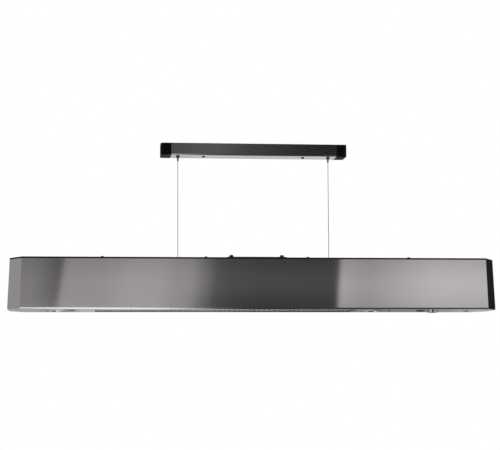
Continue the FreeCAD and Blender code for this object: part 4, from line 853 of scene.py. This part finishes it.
def make_button():
    """Push button with a shallow dish for the fingertip and a rounded rim."""
    low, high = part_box("power_button")
    radius = (high.y - low.y) / 2
    face = [(share * radius, low.z + rise * MM) for share, rise in BUTTON_PROFILE]
    bm = bmesh.new()
    turn_profile(bm, (low.x + high.x) / 2, (low.y + high.y) / 2,
                 face + [(radius, high.z), (0.0, high.z)], BUTTON_STEPS)
    smooth(bm, BUTTON_CREASE)
    make_piece("dished_button", bm, FINISHES[SLOT_OF["power_button"]], "button",
               SLOT_OF["power_button"], "power_button")


POINTER_INNER = 6.55 * MM
POINTER_OUTER = 10.45 * MM
POINTER_WIDTH = 0.9 * MM
POINTER_DEEP = 0.48 * MM
POINTER_SUNK = 0.12 * MM


def make_pointer():
    """Black paint that fills the pointer groove in the knob's face."""
    low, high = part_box("control_knob")
    centre = Vector(((low.x + high.x) / 2, (low.y + high.y + POINTER_INNER + POINTER_OUTER) / 2,
                     low.z + (POINTER_SUNK + POINTER_DEEP) / 2))
    size = (POINTER_WIDTH, POINTER_OUTER - POINTER_INNER, POINTER_DEEP - POINTER_SUNK, 1.0)
    bm = bmesh.new()
    bmesh.ops.create_cube(bm, size=1.0, matrix=Matrix.Translation(centre) @ Matrix.Diagonal(size))
    make_piece("pointer_paint", bm, FINISHES["black_plastic"], "knob", SLOT_OF["power_button"])


# ------------------------------------------------------------------ edgings


def make_ring(bm, outline, top, foot, wall):
    """A flat-walled ring that follows an outline: its top face is inset, opened and drawn down."""
    corners = [bm.verts.new((x, y, top)) for x, y in outline]
    face = bm.faces.new(corners)
    face.normal_update()
    bmesh.ops.inset_region(bm, faces=[face], thickness=wall, use_boundary=True,
                           use_even_offset=True)
    bmesh.ops.delete(bm, geom=[face], context="FACES_ONLY")
    drawn = bmesh.ops.extrude_face_region(bm, geom=bm.faces[:])["geom"]
    verts = [v for v in drawn if isinstance(v, bmesh.types.BMVert)]
    bmesh.ops.translate(bm, verts=verts, vec=(0.0, 0.0, foot - top))
    bmesh.ops.recalc_face_normals(bm, faces=bm.faces)


RIM_WALL = 0.8 * MM
RIM_PLAY = 0.05 * MM
WIRE_SEAT = 3.0 * MM


def make_painted_shade_rim():
    """Near-black edging that covers the cut edge of the bottom panel round the guard; its black is
    painted shade inside the panel's opening.
    """
    low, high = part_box("guard_wires")
    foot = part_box("bottom_panel")[0].z
    left, right = low.x + RIM_PLAY, high.x - RIM_PLAY
    near, far = low.y + WIRE_SEAT + RIM_PLAY, high.y - WIRE_SEAT - RIM_PLAY
    bm = bmesh.new()
    make_ring(bm, ((left, near), (right, near), (right, far), (left, far)),
              low.z - RIM_PLAY, foot, RIM_WALL)
    make_piece("painted_shade_rim", bm, FINISHES["blackened"], "lamp", SLOT_OF["guard_frame"])


LIP_PROUD = 0.4 * MM
LIP_WALL = 0.33 * MM
LIP_HEIGHT = 0.9 * MM
LIP_CORNER_RUN = 31.04 * MM
LIP_CORNER_SIDE = 52.68 * MM


def make_cover_lip_and_shade():
    """Folded lip of the top cover, lapped over the head of the wall; its black also paints the
    shade under the cover's edge.
    """
    low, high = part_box("top_cover")
    length, depth = high.x + LIP_PROUD, high.y + LIP_PROUD
    front, end = length - LIP_CORNER_RUN, depth - LIP_CORNER_SIDE
    outline = ((-front, -depth), (front, -depth), (length, -end), (length, end),
               (front, depth), (-front, depth), (-length, end), (-length, -end))
    bm = bmesh.new()
    make_ring(bm, outline, low.z, low.z - LIP_HEIGHT, LIP_WALL)
    make_piece("cover_lip_and_shade", bm, FINISHES["black_sheet"], "lamp", SLOT_OF["top_cover"])


# ------------------------------------------------------------------ wires and filaments

ROPE_LEAD = 9.0 * MM
ROPE_STEPS = 10
ROPE_SIDES = 6
ROPE_STRANDS = 6


def make_rope(side, body):
    """A stranded wire, three strands across: six laid round a straight one."""
    node = "wire_" + side
    low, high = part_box(node)
    centre = Vector(((low.x + high.x) / 2, (low.y + high.y) / 2, low.z))
    strand = (high.x - low.x) / 6
    turns = round((high.z - low.z) / ROPE_LEAD)
    lead = (high.z - low.z) / turns
    bm = bmesh.new()
    wind(bm, centre, UP, 0.0, strand, 0.0, lead, ROPE_STEPS, ROPE_SIDES)
    for index in range(ROPE_STRANDS):
        start = 2 * math.pi * index / ROPE_STRANDS
        wind(bm, centre, UP, 2 * strand, strand, start, lead, ROPE_STEPS, ROPE_SIDES)
    repeat_turn(bm, UP, lead, turns)
    close_ends(bm)
    smooth(bm, WIRE_CREASE)
    rope = make_piece("suspension_wire_" + side, bm, FINISHES["wire_steel"], body, "wire_steel",
                      node)
    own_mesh(rope)


COIL_LEAD = 1.7 * MM
COIL_WIRE = 0.28 * MM
COIL_STEPS = 9
COIL_SIDES = 4


def make_coils():
    """The wound filaments inside the quartz tubes."""
    low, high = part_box("infrared_filaments")
    radius = (high.z - low.z) / 2
    turns = round((high.x - low.x) / COIL_LEAD)
    lead = (high.x - low.x) / turns
    bm = bmesh.new()
    for y in (low.y + radius, high.y - radius):
        wind(bm, (low.x, y, low.z + radius), ALONG, radius - COIL_WIRE, COIL_WIRE, 0.0,
             lead, COIL_STEPS, COIL_SIDES)
    repeat_turn(bm, ALONG, lead, turns)
    close_ends(bm)
    smooth(bm, WIRE_CREASE)
    make_piece("heating_coils", bm, FINISHES["filament"], "lamp", "filament", "infrared_filaments")


make_camera()
make_world()
make_lamps()
make_floor()
make_cards()
dress_frame()
make_rope("left", "left_wire")
make_rope("right", "right_wire")
make_coils()
make_lenses()
make_chips()
make_pilot_lens()
make_button()
make_pointer()
make_painted_shade_rim()
make_cover_lip_and_shade()

scene = bpy.context.scene
scene.view_settings.view_transform = "Standard"
